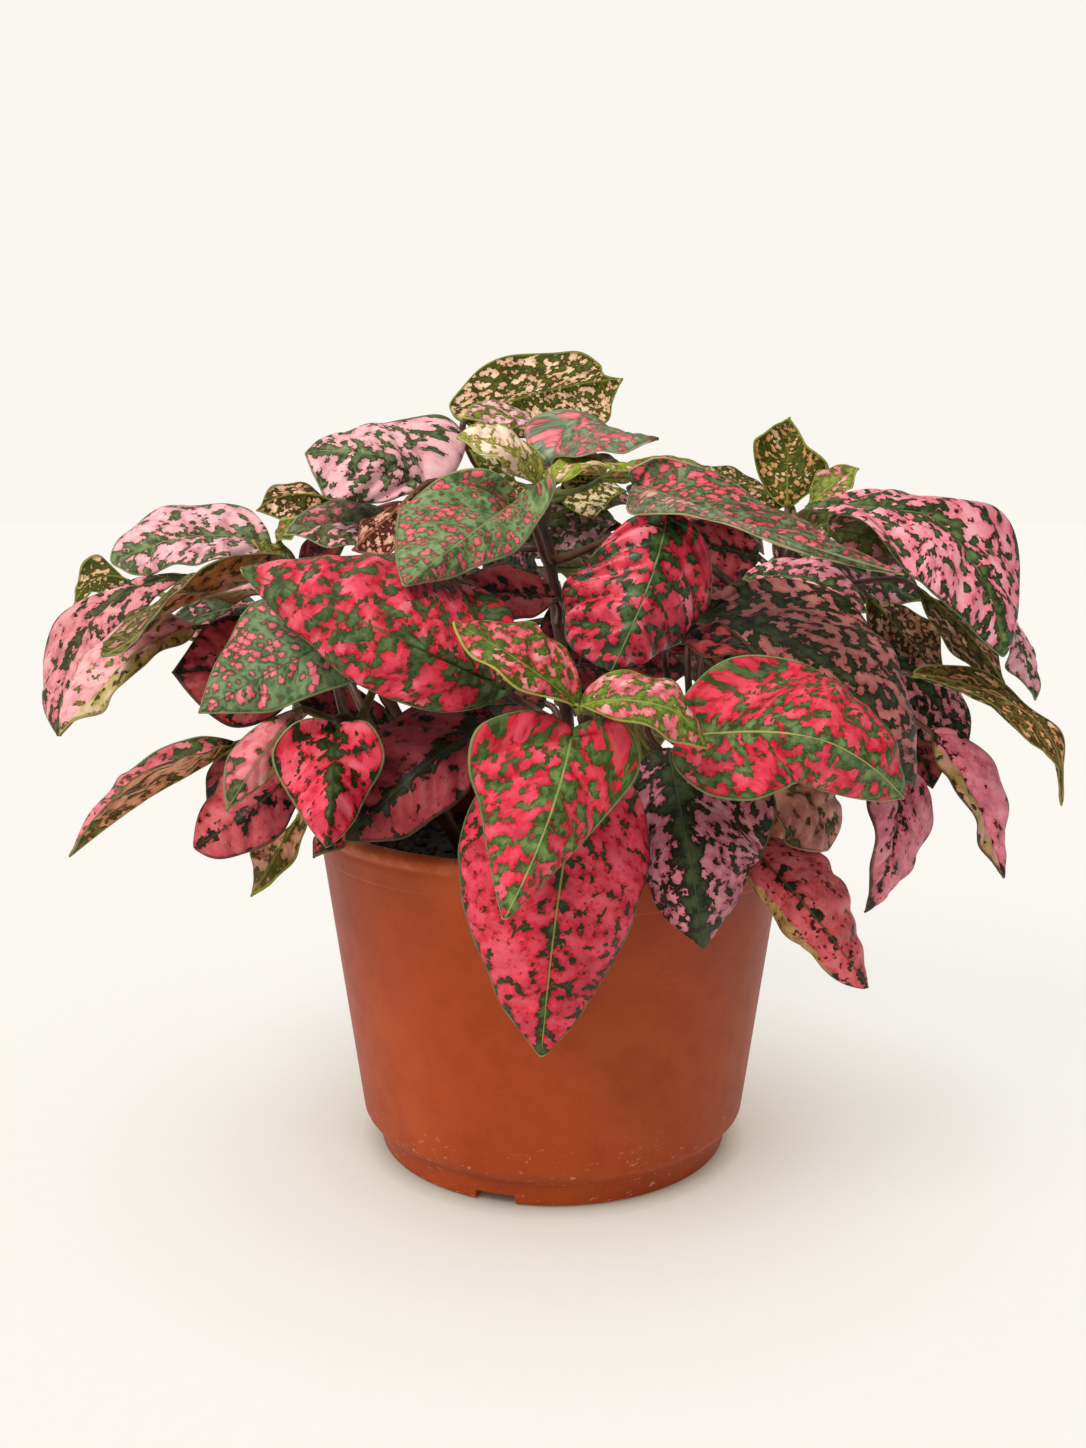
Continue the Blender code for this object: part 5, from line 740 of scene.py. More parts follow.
KIND = {
    "red": dict(),
    "redgreen": dict(cover=0.10, mid=0.9, midw=3.0, green=("7b9156", "56703a", "3a4d1e"), dots=0.3),
    # The green kind's dark side-vein tone is painted shade in the sunken side veins.
    "green": dict(green=("7f9464", "5d7549", "3c5030"), pink=("a83240", "d8485a", "ec7480"), dots=0.0,
                  cover=-2.4, spots=1.0, spotr=0.30, mid=0.3, vein="2f4224", sidetone="34482a",
                  sideline=0.75, sidew=0.14, margin="8f9c6a", rim=0.0, wide=0.6, cloud=0.35),
    "greenred": dict(green=("8a9468", "667550", "44542e"), pink=("a83038", "d4505a", "e87a80"), dots=0.0,
                     cover=-1.6, spots=1.0, spotr=0.34, mid=0.3, vein="a4a884", margin="b0a676",
                     rim=0.0, wide=0.8),
    "pale": dict(green=("8a9a6c", "5f7048", "3a4a26"), pink=("d07a80", "f2a4ae", "fcc8d0"), haze="ffe0e4",
                 cover=0.20, mid=1.3, midw=3.4, vein="a9ae78", margin="98986a", dots=0.2),
    "palepink": dict(green=("a0a060", "80803a", "5c5a20"), pink=("dc8288", "f4aab2", "fcd4d8"),
                     haze="ffeceb", cover=1.8, mid=0.8, midw=1.4, margin="9a8a50", vein="b09a58",
                     dots=0.3, rim=0.4, cloud=0.8),
    "pink": dict(green=("6a7a50", "445430", "2a3818"), pink=("cc5a6c", "f0849a", "faaaba"), haze="ffd0d6",
                 cover=0.15, mid=1.2, midw=3.2, vein="8f9a62", margin="7c8458", dots=0.3),
    "mauve": dict(green=("46502e", "28301a", "151a0c"), pink=("8a343a", "bc5c62", "d48084"), haze="e6a2a4",
                  cover=0.30, grit=5.4, wide=1.3, mid=1.5, midw=3.4, dots=0.5, vein="4a5430", margin="5c5c3a"),
    "dusky": dict(green=("40421e", "2a2e13", "171909"), pink=("781a22", "b2333b", "c84e54"), haze="da7c7a",
                  cover=1.05, grit=4.4, wide=1.2, mid=1.5, midw=2.4, dots=0.75, vein="54502c", margin="5c4a2c"),
    "olive": dict(green=("6a6f22", "4c5010", "363a06"), pink=("a87a48", "d0a87c", "e4c4a0"),
                  cover=-0.6, mid=1.0, midw=2.6, vein="8f9430", margin="8f9a38", dots=0.0, spots=1.0),
    "brown": dict(green=("6a4a2c", "4e331e", "352114"), pink=("8f5a34", "a8703f", "bd8a58"), dots=0.0,
                  cover=-0.1, mid=0.6, vein="7a5a38", margin="b89468", haze="c89c6c"),
    "young": dict(green=("9aa84a", "74862c", "4c5c1a"), pink=("b8443a", "da6a58", "eeaa8c"), haze="f6d2b8",
                  cover=-0.55, mid=0.9, midw=2.2, size=0.75, spots=0.8, spotr=0.26, dots=0.0,
                  vein="a4ae54", margin="a8b050"),
    "youngpink": dict(green=("9aa24a", "76822e", "525c1c"), pink=("c84a4c", "e67c7e", "f4b0aa"), haze="ffdcd4",
                      cover=0.10, mid=1.3, midw=2.2, size=0.75, vein="b0b856", margin="a8a04c", dots=0.0),
}
UNDER = dict(
    green=("7c7a38", "5e5a28", "403c1a"), pink=("94544a", "b47466", "c8907c"), haze="d8a896",
    vein="8e8a48", margin="848048", cover=-0.5, mid=1.1, midw=2.4, side=0.2, rim=0.5,
    dots=0.0, spots=0.0, midline=0.9, sideline=0.45, flank=0.2, rough=0.58, gloss=0.14, net=1.0,
)
UNDER_KIND = {
    "olive": dict(green=("6a7020", "4e5410", "383c06"), pink=("b8865a", "dcac84", "f0ccac"), haze="f8e0c4",
                  cover=-1.4, spots=1.0, spotr=0.36, spotf=0.62, vein="767c26", margin="8a9030"),
    "young": dict(green=("b0ba4c", "8e9a32", "6c7a22"), pink=("d0a474", "eccf96", "f6e2b8"), haze="fff2d0",
                  cover=-1.4, spots=0.8, spotr=0.30, vein="88922e", margin="aab052"),
    "youngpink": dict(green=("b4b458", "94943a", "767628"), pink=("d07e70", "e8a692", "f4ceb6"), haze="ffe2d0",
                      cover=-0.6, spots=0.8, spotr=0.30, vein="90903a", margin="aaa654"),
    "brown": dict(green=("5c3a20", "452a18", "301c10"), pink=("7a4a2a", "946034", "a8784c"), cover=-0.2),
}
LOOK = {}
UNDER_LOOK = {}
# What single leaves do differently from their kind. A value below 1 darkens a leaf's whole colour: painted shade.
RICH = dict(pink=("9c1226", "d82038", "ec4860"), haze="f6788e")
LOOK.update({
    # front_low is darkened by its value: painted shade from front_heart in front of it.
    "front_low": dict(RICH, cover=1.05, wide=1.7, grit=5.4, mid=1.4, midw=2.0, rim=1.7, dots=1.0, cloud=0.35,
                      green=("566638", "3a4722", "262f12"), vein="a89a54", midline=0.8, value=0.93),
    "front_heart": dict(RICH, cover=0.45, wide=1.2, mid=1.3, midw=2.6, rim=0.8, dots=0.25,
                        vein="9fae66", midline=0.8, green=("7d9454", "5b763a", "3a4f1e")),
    "left_large": dict(RICH, cover=0.42, wide=1.1, mid=1.0, midw=3.0, cloud=0.75, haze="f88496",
                       green=("6d7d52", "52643a", "33431f"), vein="47582e", midline=0.6, stretch=0.85),
    "left_green": dict(spotr=0.37, spotf=0.55, pink=("a83c4c", "e45c6e", "f48894"), size=1.05,
                       green=("7c9166", "5f7850", "3f5634")),
    "centre_heart_green": dict(spotr=0.36, spotf=0.74, pink=("a0303c", "d85060", "f0707c"),
                               green=("8ea470", "6c8554", "465c36"), vein="93a86c", midline=0.7, cover=-2.0),
    "centre_hanging": dict(pink=("8c0e22", "d21a36", "e83a58"), haze="ff8a9c", cover=0.42, wide=1.1,
                           green=("54703e", "3a5226", "1c2e10"), dots=1.0, gloss=0.40, rough=0.36,
                           vein="87a262", midline=0.75, mid=1.2, midw=2.4, cloud=0.8),
    "back_pale_left": dict(value=1.06, cover=0.62, wide=0.15, cloud=0.3, haze="ffd4da", mid=1.3, midw=2.8, size=0.85, dots=0.1,
                           pink=("d8808c", "f4acb4", "fcc4ca"), green=("8c9c70", "586a42", "304020")),
    "left_pale_back": dict(cover=0.66, wide=0.25, haze="ffdce0", mid=1.9, midw=3.4, size=0.95, dots=0.1),
    "left_grey": dict(cover=-0.2, pink=("9c3c48", "c85a66", "e08890"), haze="f4a8b0",
                      green=("7c8460", "5c6444", "3c4228"),
        half=(-1.0, ("7c7c54", "5c5c3a", "3c3c22"), ("d08088", "eca0a8", "f8c8cc"), 0.3)),
    "right_long": dict(spotr=0.39, pink=("a82838", "d84454", "ec6c78"), base=0.6, cover=-1.0,
                       green=("808e64", "5c6c4a", "384828"),
        half=(1.0, ("9aa484", "7a876a", "566046"), ("b05c5c", "cc8078", "e4aea0"), 0.6)),
    "right_large": dict(cover=0.48, wide=0.8, size=1.2, mid=1.8, midw=3.4, cloud=0.7, haze="ffc8d0",
                        pink=("d45068", "fa8094", "fca6b4"), green=("6c8050", "40522c", "203014")),
    "right_big": dict(RICH, cover=0.45, wide=1.1, cloud=0.6, mid=1.4, midw=2.6, rim=0.9,
                      green=("7c9258", "587040", "364a20"), vein="b0a862", midline=0.85),
    "right_low_mauve": dict(cover=0.35, pink=("883844", "be6272", "d88c96"), midw=3.0, mid=2.2, dots=0.8,
                            green=("3e4a2a", "262f18", "12180a")),
    "right_low_red": dict(cover=1.25, pink=("982630", "cc424c", "dc6468"), haze="ec8c8c", mid=1.2, midw=1.8, dots=0.9,
                          half=(1.0, ("64602c", "48441c", "2c280e"), ("8c7038", "ac8a48", "c8a468"), 5.4)),
    # right_shade and right_narrow_red are darkened by their value: painted shade.
    "right_shade": dict(value=0.88, size=1.4, cover=0.32, grit=6.4, pink=("8c3c3e", "c46864", "d88a84"), haze="d8948c",
                        green=("545a36", "343c1e", "1c2410")),
    "right_narrow_red": dict(value=0.8),
    "right_hang_dusky": dict(pink=("a03c48", "cc5a68", "e08490"), cover=1.25, haze="eca8b0", value=1.08),
    "right_hang_pink": dict(pink=("b84454", "de6878", "f08c9c"), cover=1.4, haze="f4b0b8", midw=1.4, value=1.06,
        half=(1.0, ("6c6a28", "4c4a18", "30300c"), ("8c6c3c", "a4844c", "c09c68"), 2.0)),
    "left_folded_pale": dict(cover=1.2, pink=("c87078", "e8949a", "f4b0b4"), haze="f8ccc8", dots=0.6, vein="a08c4c",
        half=(-1.0, ("7c7430", "5c5418", "3c360c"), ("8c8434", "a89c48", "c4b46c"), 0.5)),
    "left_sliver": dict(pink=("c87078", "e8949a", "f4b0b4"), haze="f8ccc8",
        half=(-1.0, ("7c7430", "5c5418", "3c360c"), ("8c8434", "a89c48", "c4b46c"), 0.5)),
    "right_pink_back": dict(cover=0.6, haze="ffe4e4"),
    # right_back_mauve is darkened by its value: painted shade.
    "right_back_mauve": dict(value=0.92, pink=("b8505e", "dc7884", "f0a0a8")),
    "right_small_tip": dict(value=1.05, cover=1.0, pink=("c46870", "e0949c", "f0b4b8")),
    "left_heart": dict(RICH, cover=0.85, wide=0.6, grit=5.4, mid=2.1, midw=1.8, dots=1.0, rim=0.3, tip=0.6,
                       green=("4c5a2c", "34401a", "20290e"), vein="34401a", cloud=0.7, haze="f47c8c"),
    "left_low_red": dict(cover=1.45, pink=("84202c", "b83a46", "ce5860"), mid=1.4, haze="de7c82"),
    # left_dark, left_shade_red and centre_dusky are darkened by their value: painted shade.
    "left_dark": dict(value=0.74, cover=1.0, mid=2.0, midw=2.6, dots=1.1, pink=("6a161e", "a03038", "b44048"), haze="bc5458"),
    "left_shade_red": dict(value=0.82),
    "centre_dusky": dict(value=0.78, cover=1.3),
    "left_far_large": dict(pink=("a84e5a", "d67880", "ea9a9e"), haze="f4bcba", cover=0.75, mid=1.4,
                           midw=2.6, green=("64643c", "424624", "282c14"), dots=0.4),
    "left_far_narrow": dict(cover=0.7, pink=("b03848", "dc5c6c", "ec8490"), haze="f8b0b4", dots=0.2,
                            green=("6e8048", "526236", "36441c"),
        half=(-1.0, ("98703a", "744e22", "44300e"), ("b4642e", "cc8048", "dc9c68"), 0.1)),
    "left_narrow_pink": dict(cover=1.5, pink=("b8444e", "de646e", "ee8890"), mid=0.6, midw=1.6, rim=0.3, value=1.05,
                             green=("80845c", "60683e", "3c4426"),
        half=(-1.0, ("6a5a34", "4c4022", "342a12"), ("9c6440", "b87c54", "cc9870"), 3.0)),
    "left_twisted": dict(cover=0.5, pink=("b04850", "dc7c7c", "f0a0a0"), spotr=0.36,
                         green=("989460", "726e42", "48462a"),
        half=(1.0, ("6c6026", "4e4416", "342c0c"), ("7c5422", "945e2a", "b4743c"), 0.1)),
    "top_right_green": dict(cover=-0.9, pink=("a8343e", "d4505c", "ec7680"), spotr=0.34, value=1.08, dry=(0.90, "5c3a1e"),
                            gloss=0.6, rough=0.42, green=("94a478", "708260", "4a5c3e")),
    "front_young_left": dict(pink=("b4262c", "d8444e", "f07c84"), haze="fcc8c4", cover=0.18, size=0.85,
                             wide=1.1, spots=0.4, mid=1.3, midw=1.8, green=("8ea23e", "64782a", "3e5018")),
    "front_young_right": dict(pink=("bc3640", "de5c66", "f08c94"), haze="fcd4cc", cover=0.50, wide=1.2,
                              cloud=0.9, mid=1.6, midw=1.6, green=("98aa46", "6e8430", "48601c")),
    "top_young_left": dict(green=("c4c064", "a09c44", "747628"), pink=("e09c80", "f8cca8", "fce8d0"), value=1.08,
                           cover=0.9, size=0.7, haze="fff0dc", base=-1.4, basew=0.5),
    "top_young_right": dict(green=("b8c24c", "96a834", "70821e"), pink=("c87c5c", "e8b08c", "f8dcbc"),
                            cover=0.1, size=0.7, haze="fff0dc", base=-1.6, basew=0.5),
    "top_young_back": dict(pink=("d07078", "f0a0a8", "fcd0d0"), cover=0.8),
    "right_dry": dict(size=1.3, stretch=1.2, cover=0.9, green=("7c7444", "5a522c", "3c361c"),
                      pink=("84483c", "ac6458", "c48074"), haze="d09c84", dots=0.3, cloud=0.8),
    # Most leaves deep inside the plant are darkened by a value below 1: painted shade where the outer leaves shadow
    # them.
    "inner_right_red": dict(value=0.72), "inner_right_high": dict(value=1.15, pink=("c8606c", "e88894", "f4a8b0"),
                             green=("8a9254", "666e34", "444c1c")),
    "inner_right_mid": dict(value=0.62), "inner_left_high": dict(value=0.55),
    "inner_centre_mid": dict(value=0.45),
    "inner_right_glow": dict(value=0.95, pink=("d8808c", "f0a4ac", "f8c4c8"), green=("98a05c", "70783c", "4c5424")),
    "inner_centre_right": dict(value=0.5), "inner_centre_left": dict(value=0.42),
    "inner_left_low": dict(value=0.48), "inner_centre_high": dict(value=0.62),
    "inner_right_low": dict(value=0.6), "inner_left_side": dict(value=0.55),
    "inner_left_pale": dict(value=0.85),
})
OLD = dict(green=("6a6e22", "4e5412", "343a06"), pink=("b07c50", "dcac84", "f4d4b4"), haze="ffe8d0",
           cover=-0.55, wide=0.5, size=0.78, spots=0.5, spotr=0.32, spotf=0.6, mid=1.2, midw=1.8, jag=0.45)
UNDER_LOOK.update({
    "top_back": dict(OLD, cover=-0.30, green=("6f7424", "505610", "363b04")),
    "right_upright": dict(OLD, cover=-0.55, pink=("b0723c", "cc9658", "e0b47c")),
    "left_back_under": dict(OLD, cover=-0.35, green=("6a6022", "4a4410", "322c06"),
                            pink=("b07048", "d8a07c", "ecc0a0")),
    "brown_under": dict(green=("84482c", "602c1a", "3c180a"), pink=("b05c48", "d08c74", "e8b49c"),
                        haze="f4ccb8", cover=-0.2, size=0.75, wide=0.6, spots=0.5, spotf=0.6,
                        vein="8a5638", margin="94603c"),
    "right_back_olive": dict(OLD, cover=-0.8),
    "right_far_narrow": dict(green=("7a6c34", "564a1e", "38300e"), pink=("a86034", "c88450", "dca878"),
                             cover=-0.3, stretch=1.7, size=0.9, vein="a08c4c", margin="9c9450", spots=0.0),
    "right_mid_olive": dict(green=("6c6030", "4c421c", "30290e"), pink=("94583c", "b87c5c", "d4a084"),
                            cover=-0.2, stretch=1.5, spots=0.0),
    # right_back_shade's underside is darkened by its value: painted shade.
    "right_back_shade": dict(green=("5c5028", "3e3616", "28220c"), pink=("884c34", "ac7050", "c89474"),
                             cover=-0.3, value=0.85),
    "left_low_under": dict(green=("948444", "74662c", "50461a"), pink=("b06c50", "cc8c6c", "dca888"),
                           cover=0.35, spots=0.2, value=1.1, haze="e4b898"),
    "left_far_narrow": dict(green=("7c7434", "5a541e", "3a350e"), pink=("a8603c", "cc8258", "e0a47c"),
                            cover=0.45, stretch=1.5, spots=0.0, value=1.12, haze="ecbc98"),
    "left_folded_pale": dict(green=("8c8434", "6a621c", "48400e"), pink=("a89c44", "c4b45c", "dccc80"), cover=-0.3),
    "left_tiny_olive": dict(OLD, cover=-0.5),
    # These two backlit leaves have bright yellow-green and cream undersides: painted light standing in for light
    # shining through them.
    "left_back_glow": dict(green=("94943c", "6c7024", "4a500e"), pink=("d8b080", "f0d8a8", "fcf0d0"), cover=0.1,
                           spots=0.4, size=0.8),
    "mid_back_glow": dict(green=("8c8c34", "64681c", "444a0a"), pink=("d8b080", "f0d4a4", "fcf0d0"), cover=0.0,
                          spots=0.4, size=0.8),
})


def leaf_skin(name, look):
    """Material of one face of a leaf."""
    t = Tree(name)
    flat = t.attribute("flat")
    u, vein, m = t.split(t.attribute("skin"))
    mid, edge, spare = t.split(t.attribute("span"))
    size = look["size"]
    base = t.place(flat, (1 / size, look["stretch"] / size, 1.0))
    # Blotches are clumps of small rounded cells, so the noise that draws them
    # is read partly at the cells' own centres.
    shake = t.nodes.new("ShaderNodeTexNoise")
    t.plug(base, shake.inputs["Vector"])
    shake.inputs["Scale"].default_value = 1.1
    shake.inputs["Detail"].default_value = 1.0
    push = t.nodes.new("ShaderNodeVectorMath")
    push.operation = "MULTIPLY_ADD"
    t.plug(shake.outputs["Color"], push.inputs[0])
    push.inputs[1].default_value = (1.5, 1.5, 0.0)
    t.plug(base, push.inputs[2])
    ragged = push.outputs[0]
    cell = t.cells(ragged, 1.05)
    blend = t.nodes.new("ShaderNodeMix")
    blend.data_type = "VECTOR"
    blend.inputs[0].default_value = look["jag"]
    t.plug(ragged, blend.inputs[4])
    t.plug(cell.outputs["Position"], blend.inputs[5])
    clump = blend.outputs[1]
    wide = t.noise(base, 0.15, 1.0, 0.5, 0.4)
    main = t.noise(clump, 0.40, 0.0, 0.5, 0.0)
    fine = t.noise(clump, 0.95, 1.0, 0.5, 0.0)
    field = t.math("MULTIPLY_ADD", wide, look["wide"] * 2.0, look["cover"] - look["wide"])
    field = t.add(field, t.math("MULTIPLY_ADD", main, look["grit"], -0.5 * look["grit"]))
    field = t.add(field, t.math("MULTIPLY_ADD", fine, 2.8, -1.4))
    # Green keeps to the midrib, thinning towards the tip.
    lobe = t.math("MULTIPLY_ADD", wide, 1.3, 0.35)
    near = t.math("DIVIDE", mid, t.mul(t.mul(lobe, look["midw"]), t.math("MULTIPLY_ADD", m, -0.55, 1.15)))
    near = t.math("EXPONENT", t.mul(t.mul(near, near), -1.0))
    field = t.add(field, t.mul(near, -look["mid"]))
    if look["side"]:
        rib = t.math("POWER", t.math("SUBTRACT", 1.0, vein, clamp=True), 3.0)
        field = t.add(field, t.mul(rib, -look["side"] * 2.0))
    if look["rim"]:
        hem = t.math("EXPONENT", t.mul(edge, -0.75))
        field = t.add(field, t.mul(hem, -look["rim"]))
    if look["base"]:
        field = t.add(field, t.band(m, 0.0, look["basew"], look["base"], 0.0))
    if look["tip"]:
        field = t.add(field, t.band(m, 0.45, 0.95, 0.0, look["tip"]))
    if look["spots"]:
        drawn = t.place(ragged, (0.95, 0.75, 1.0), (3.1, 7.7, 0.0))
        seed = t.cells(drawn, look["spotf"], random=0.95)
        crowd = t.math("MULTIPLY_ADD", wide, 0.50, -0.25)
        radius = t.math("MULTIPLY_ADD", t.split(seed.outputs["Color"])[1], 0.40, look["spotr"] - 0.20)
        radius = t.add(radius, crowd)
        spot = t.mul(t.math("SUBTRACT", radius, seed.outputs["Distance"]), 6.0 * look["spots"])
        field = t.math("MAXIMUM", field, spot)
    if look["dots"]:
        speck = t.cells(t.place(ragged, (1.0, 1.0, 1.0), (9.3, 1.7, 0.0)), 0.55, random=1.0)
        radius = t.math("MULTIPLY_ADD", t.split(speck.outputs["Color"])[2], 0.46, -0.46 + 0.30 * look["dots"])
        dot = t.mul(t.math("SUBTRACT", speck.outputs["Distance"], radius), 6.0)
        field = t.math("MINIMUM", field, t.math("MAXIMUM", dot, -0.8))
    g, p = look["green"], look["pink"]
    read = t.math("MULTIPLY_ADD", field, 0.22, 0.5, clamp=True)
    colour = t.ramp(read, [
        (0.00, srgb(g[0])), (0.26, srgb(g[1])), (0.455, srgb(g[2])), (0.494, srgb(g[2])),
        (0.506, srgb(p[0])), (0.56, srgb(p[1])), (0.86, srgb(p[2])), (1.0, srgb(p[2])),
    ])
    if look["half"]:
        # One half of the blade shows its other face: a second pair of colours.
        sign, g2, p2, start = look["half"]
        other = t.ramp(read, [
            (0.00, srgb(g2[0])), (0.26, srgb(g2[1])), (0.47, srgb(g2[2])), (0.494, srgb(g2[2])),
            (0.506, srgb(p2[0])), (0.60, srgb(p2[1])), (0.90, srgb(p2[2])),
        ])
        where = t.band(t.mul(t.split(flat)[1], sign), start, start + 0.25)
        colour = t.mix(where, colour, other)
    # Paler clouds drift through the blotches and darker ones through the green.
    cloud = t.noise(t.place(base, (1.0, 0.75, 1.0), (2.0, 5.0, 0.0)), 0.20, 2.0, 0.5, 0.4)
    tint = t.band(cloud, 0.50, 0.72, 0.0, look["cloud"])
    inside = t.band(read, 0.50, 0.56)
    colour = t.mix(t.mul(tint, inside), colour, srgb(look["haze"]))
    colour = t.mix(t.band(cloud, 0.52, 0.30, 0.0, 0.42), colour, srgb("9a8c8c"), "MULTIPLY")
    grain = t.noise(flat, 3.2, 2.0, 0.6)
    colour = t.mix(t.band(grain, 0.40, 0.70, 0.0, 0.09), colour, srgb(g[2]), "MULTIPLY")
    net = t.cells(t.place(flat, (1, 1, 1), (5, 5, 0)), 0.70, "DISTANCE_TO_EDGE").outputs["Distance"]
    line = t.band(net, 0.0, 0.07, 1.0, 0.0)
    colour = t.mix(t.mul(line, 0.14 * look["net"]), colour, srgb(g[2]))
    # Side veins take their own tone; where that tone is dark, as on the green kind, it is painted shade in the sunken
    # veins.
    side = t.mul(t.band(vein, 0.02, look["sidew"], 1.0, 0.0), t.band(u, 0.92, 0.55, 0.2, 1.0))
    colour = t.mix(t.mul(side, look["sideline"]), colour, srgb(look["sidetone"] or look["vein"]))
    slim = t.math("DIVIDE", mid, t.math("MULTIPLY_ADD", m, -0.55, 0.85))
    flank = t.mul(t.band(slim, 0.35, 0.95, 1.0, 0.0), look["flank"])
    colour = t.mix(flank, colour, srgb(g[2]))
    rib = t.mul(t.band(slim, 0.20, 0.42, 1.0, 0.0), look["midline"])
    colour = t.mix(rib, colour, srgb(look["vein"]))
    # A pale thread runs round the margin with a darker one inside it; the darker thread is painted shade that sets the
    # edge off from what lies behind.
    inner = t.mul(t.band(edge, 0.60, 1.00, 1.0, 0.0), 0.60)
    colour = t.mix(inner, colour, srgb(g[2]))
    rimline = t.band(edge, 0.30, 0.52, 0.90, 0.0)
    colour = t.mix(rimline, colour, srgb(look["margin"]))
    if look["dry"]:
        # The tip has dried and gone brown.
        start, tone = look["dry"]
        gone = t.band(t.add(m, t.mul(cloud, 0.06)), start, start + 0.06)
        colour = t.mix(gone, colour, srgb(tone))
    # A value below 1 darkens the whole leaf: painted shade on leaves lying in shadow under, inside or behind others;
    # above 1 it lightens the leaf.
    if look["value"] != 1.0:
        v = look["value"]
        colour = t.mix(1.0, colour, (v, v, v, 1.0), "MULTIPLY")
    t.plug(colour, t.shader.inputs["Base Color"])
    t.plug(t.math("MULTIPLY_ADD", cloud, 0.24, look["rough"] - 0.12), t.shader.inputs["Roughness"])
    t.shader.inputs["Specular IOR Level"].default_value = look["gloss"]
    relief = t.add(t.mul(t.band(net, 0.0, 0.30), 0.8 * look["net"]), t.mul(grain, 0.5))
    relief = t.add(relief, t.mul(t.band(read, 0.47, 0.53), 0.5))
    t.plug(t.bump(relief, 0.40, 0.00018), t.shader.inputs["Normal"])
    return t.mat


def stalk_skin(name, tone="stem"):
    """Petiole and stem: dark wine-brown skin, greener where it is young."""
    t = Tree(name)
    place = t.coords()
    fibre = t.noise(t.place(place, (900, 900, 160)), 1.0, 3.0, 0.6)
    patch = t.noise(place, 95.0, 3.0, 0.6)
    tones = {
        "stem": ("2c1710", "4a2718", "6c4129"),
        "dark": ("33190f", "54301f", "7c4e32"),
        "olive": ("44381a", "66562a", "8c7a40"),
        "green": ("4c5226", "6f7a34", "93a04c"),
        "wine": ("3a1a1c", "62282c", "8a4240"),
    }[tone]
    colour = t.ramp(patch, [(0.30, srgb(tones[0])), (0.52, srgb(tones[1])), (0.74, srgb(tones[2]))])
    colour = t.mix(t.band(fibre, 0.45, 0.75, 0.0, 0.45), colour, srgb(tones[2]))
    t.plug(colour, t.shader.inputs["Base Color"])
    t.plug(t.math("MULTIPLY_ADD", fibre, 0.3, 0.28), t.shader.inputs["Roughness"])
    t.plug(t.bump(fibre, 0.5, 0.0002), t.shader.inputs["Normal"])
    return t.mat


# ---------------------------------------------------------------------------
# Leaf shape
# ---------------------------------------------------------------------------
COLUMNS = np.array([0.0, 0.035, 0.09, 0.17, 0.27, 0.38, 0.49, 0.60, 0.71, 0.81, 0.895, 0.955, 1.0])
ACROSS = len(COLUMNS) - 1
TOP = np.linspace(-1.0, 1.0, 2 * ACROSS + 1)
LOW = TOP[1:-1][::-1]


def grid_normals(grid):
    """Vertex normals of a grid of points, weighted by the size of the faces."""
    a, b = grid[:-1, :-1], grid[:-1, 1:]
    c, d = grid[1:, 1:], grid[1:, :-1]
    face = np.cross(c - a, d - b)
    total = np.zeros_like(grid)
    for rows in (slice(None, -1), slice(1, None)):
        for cols in (slice(None, -1), slice(1, None)):
            total[rows, cols] += face
    return total / np.maximum(1e-12, np.linalg.norm(total, axis=2))[..., None]


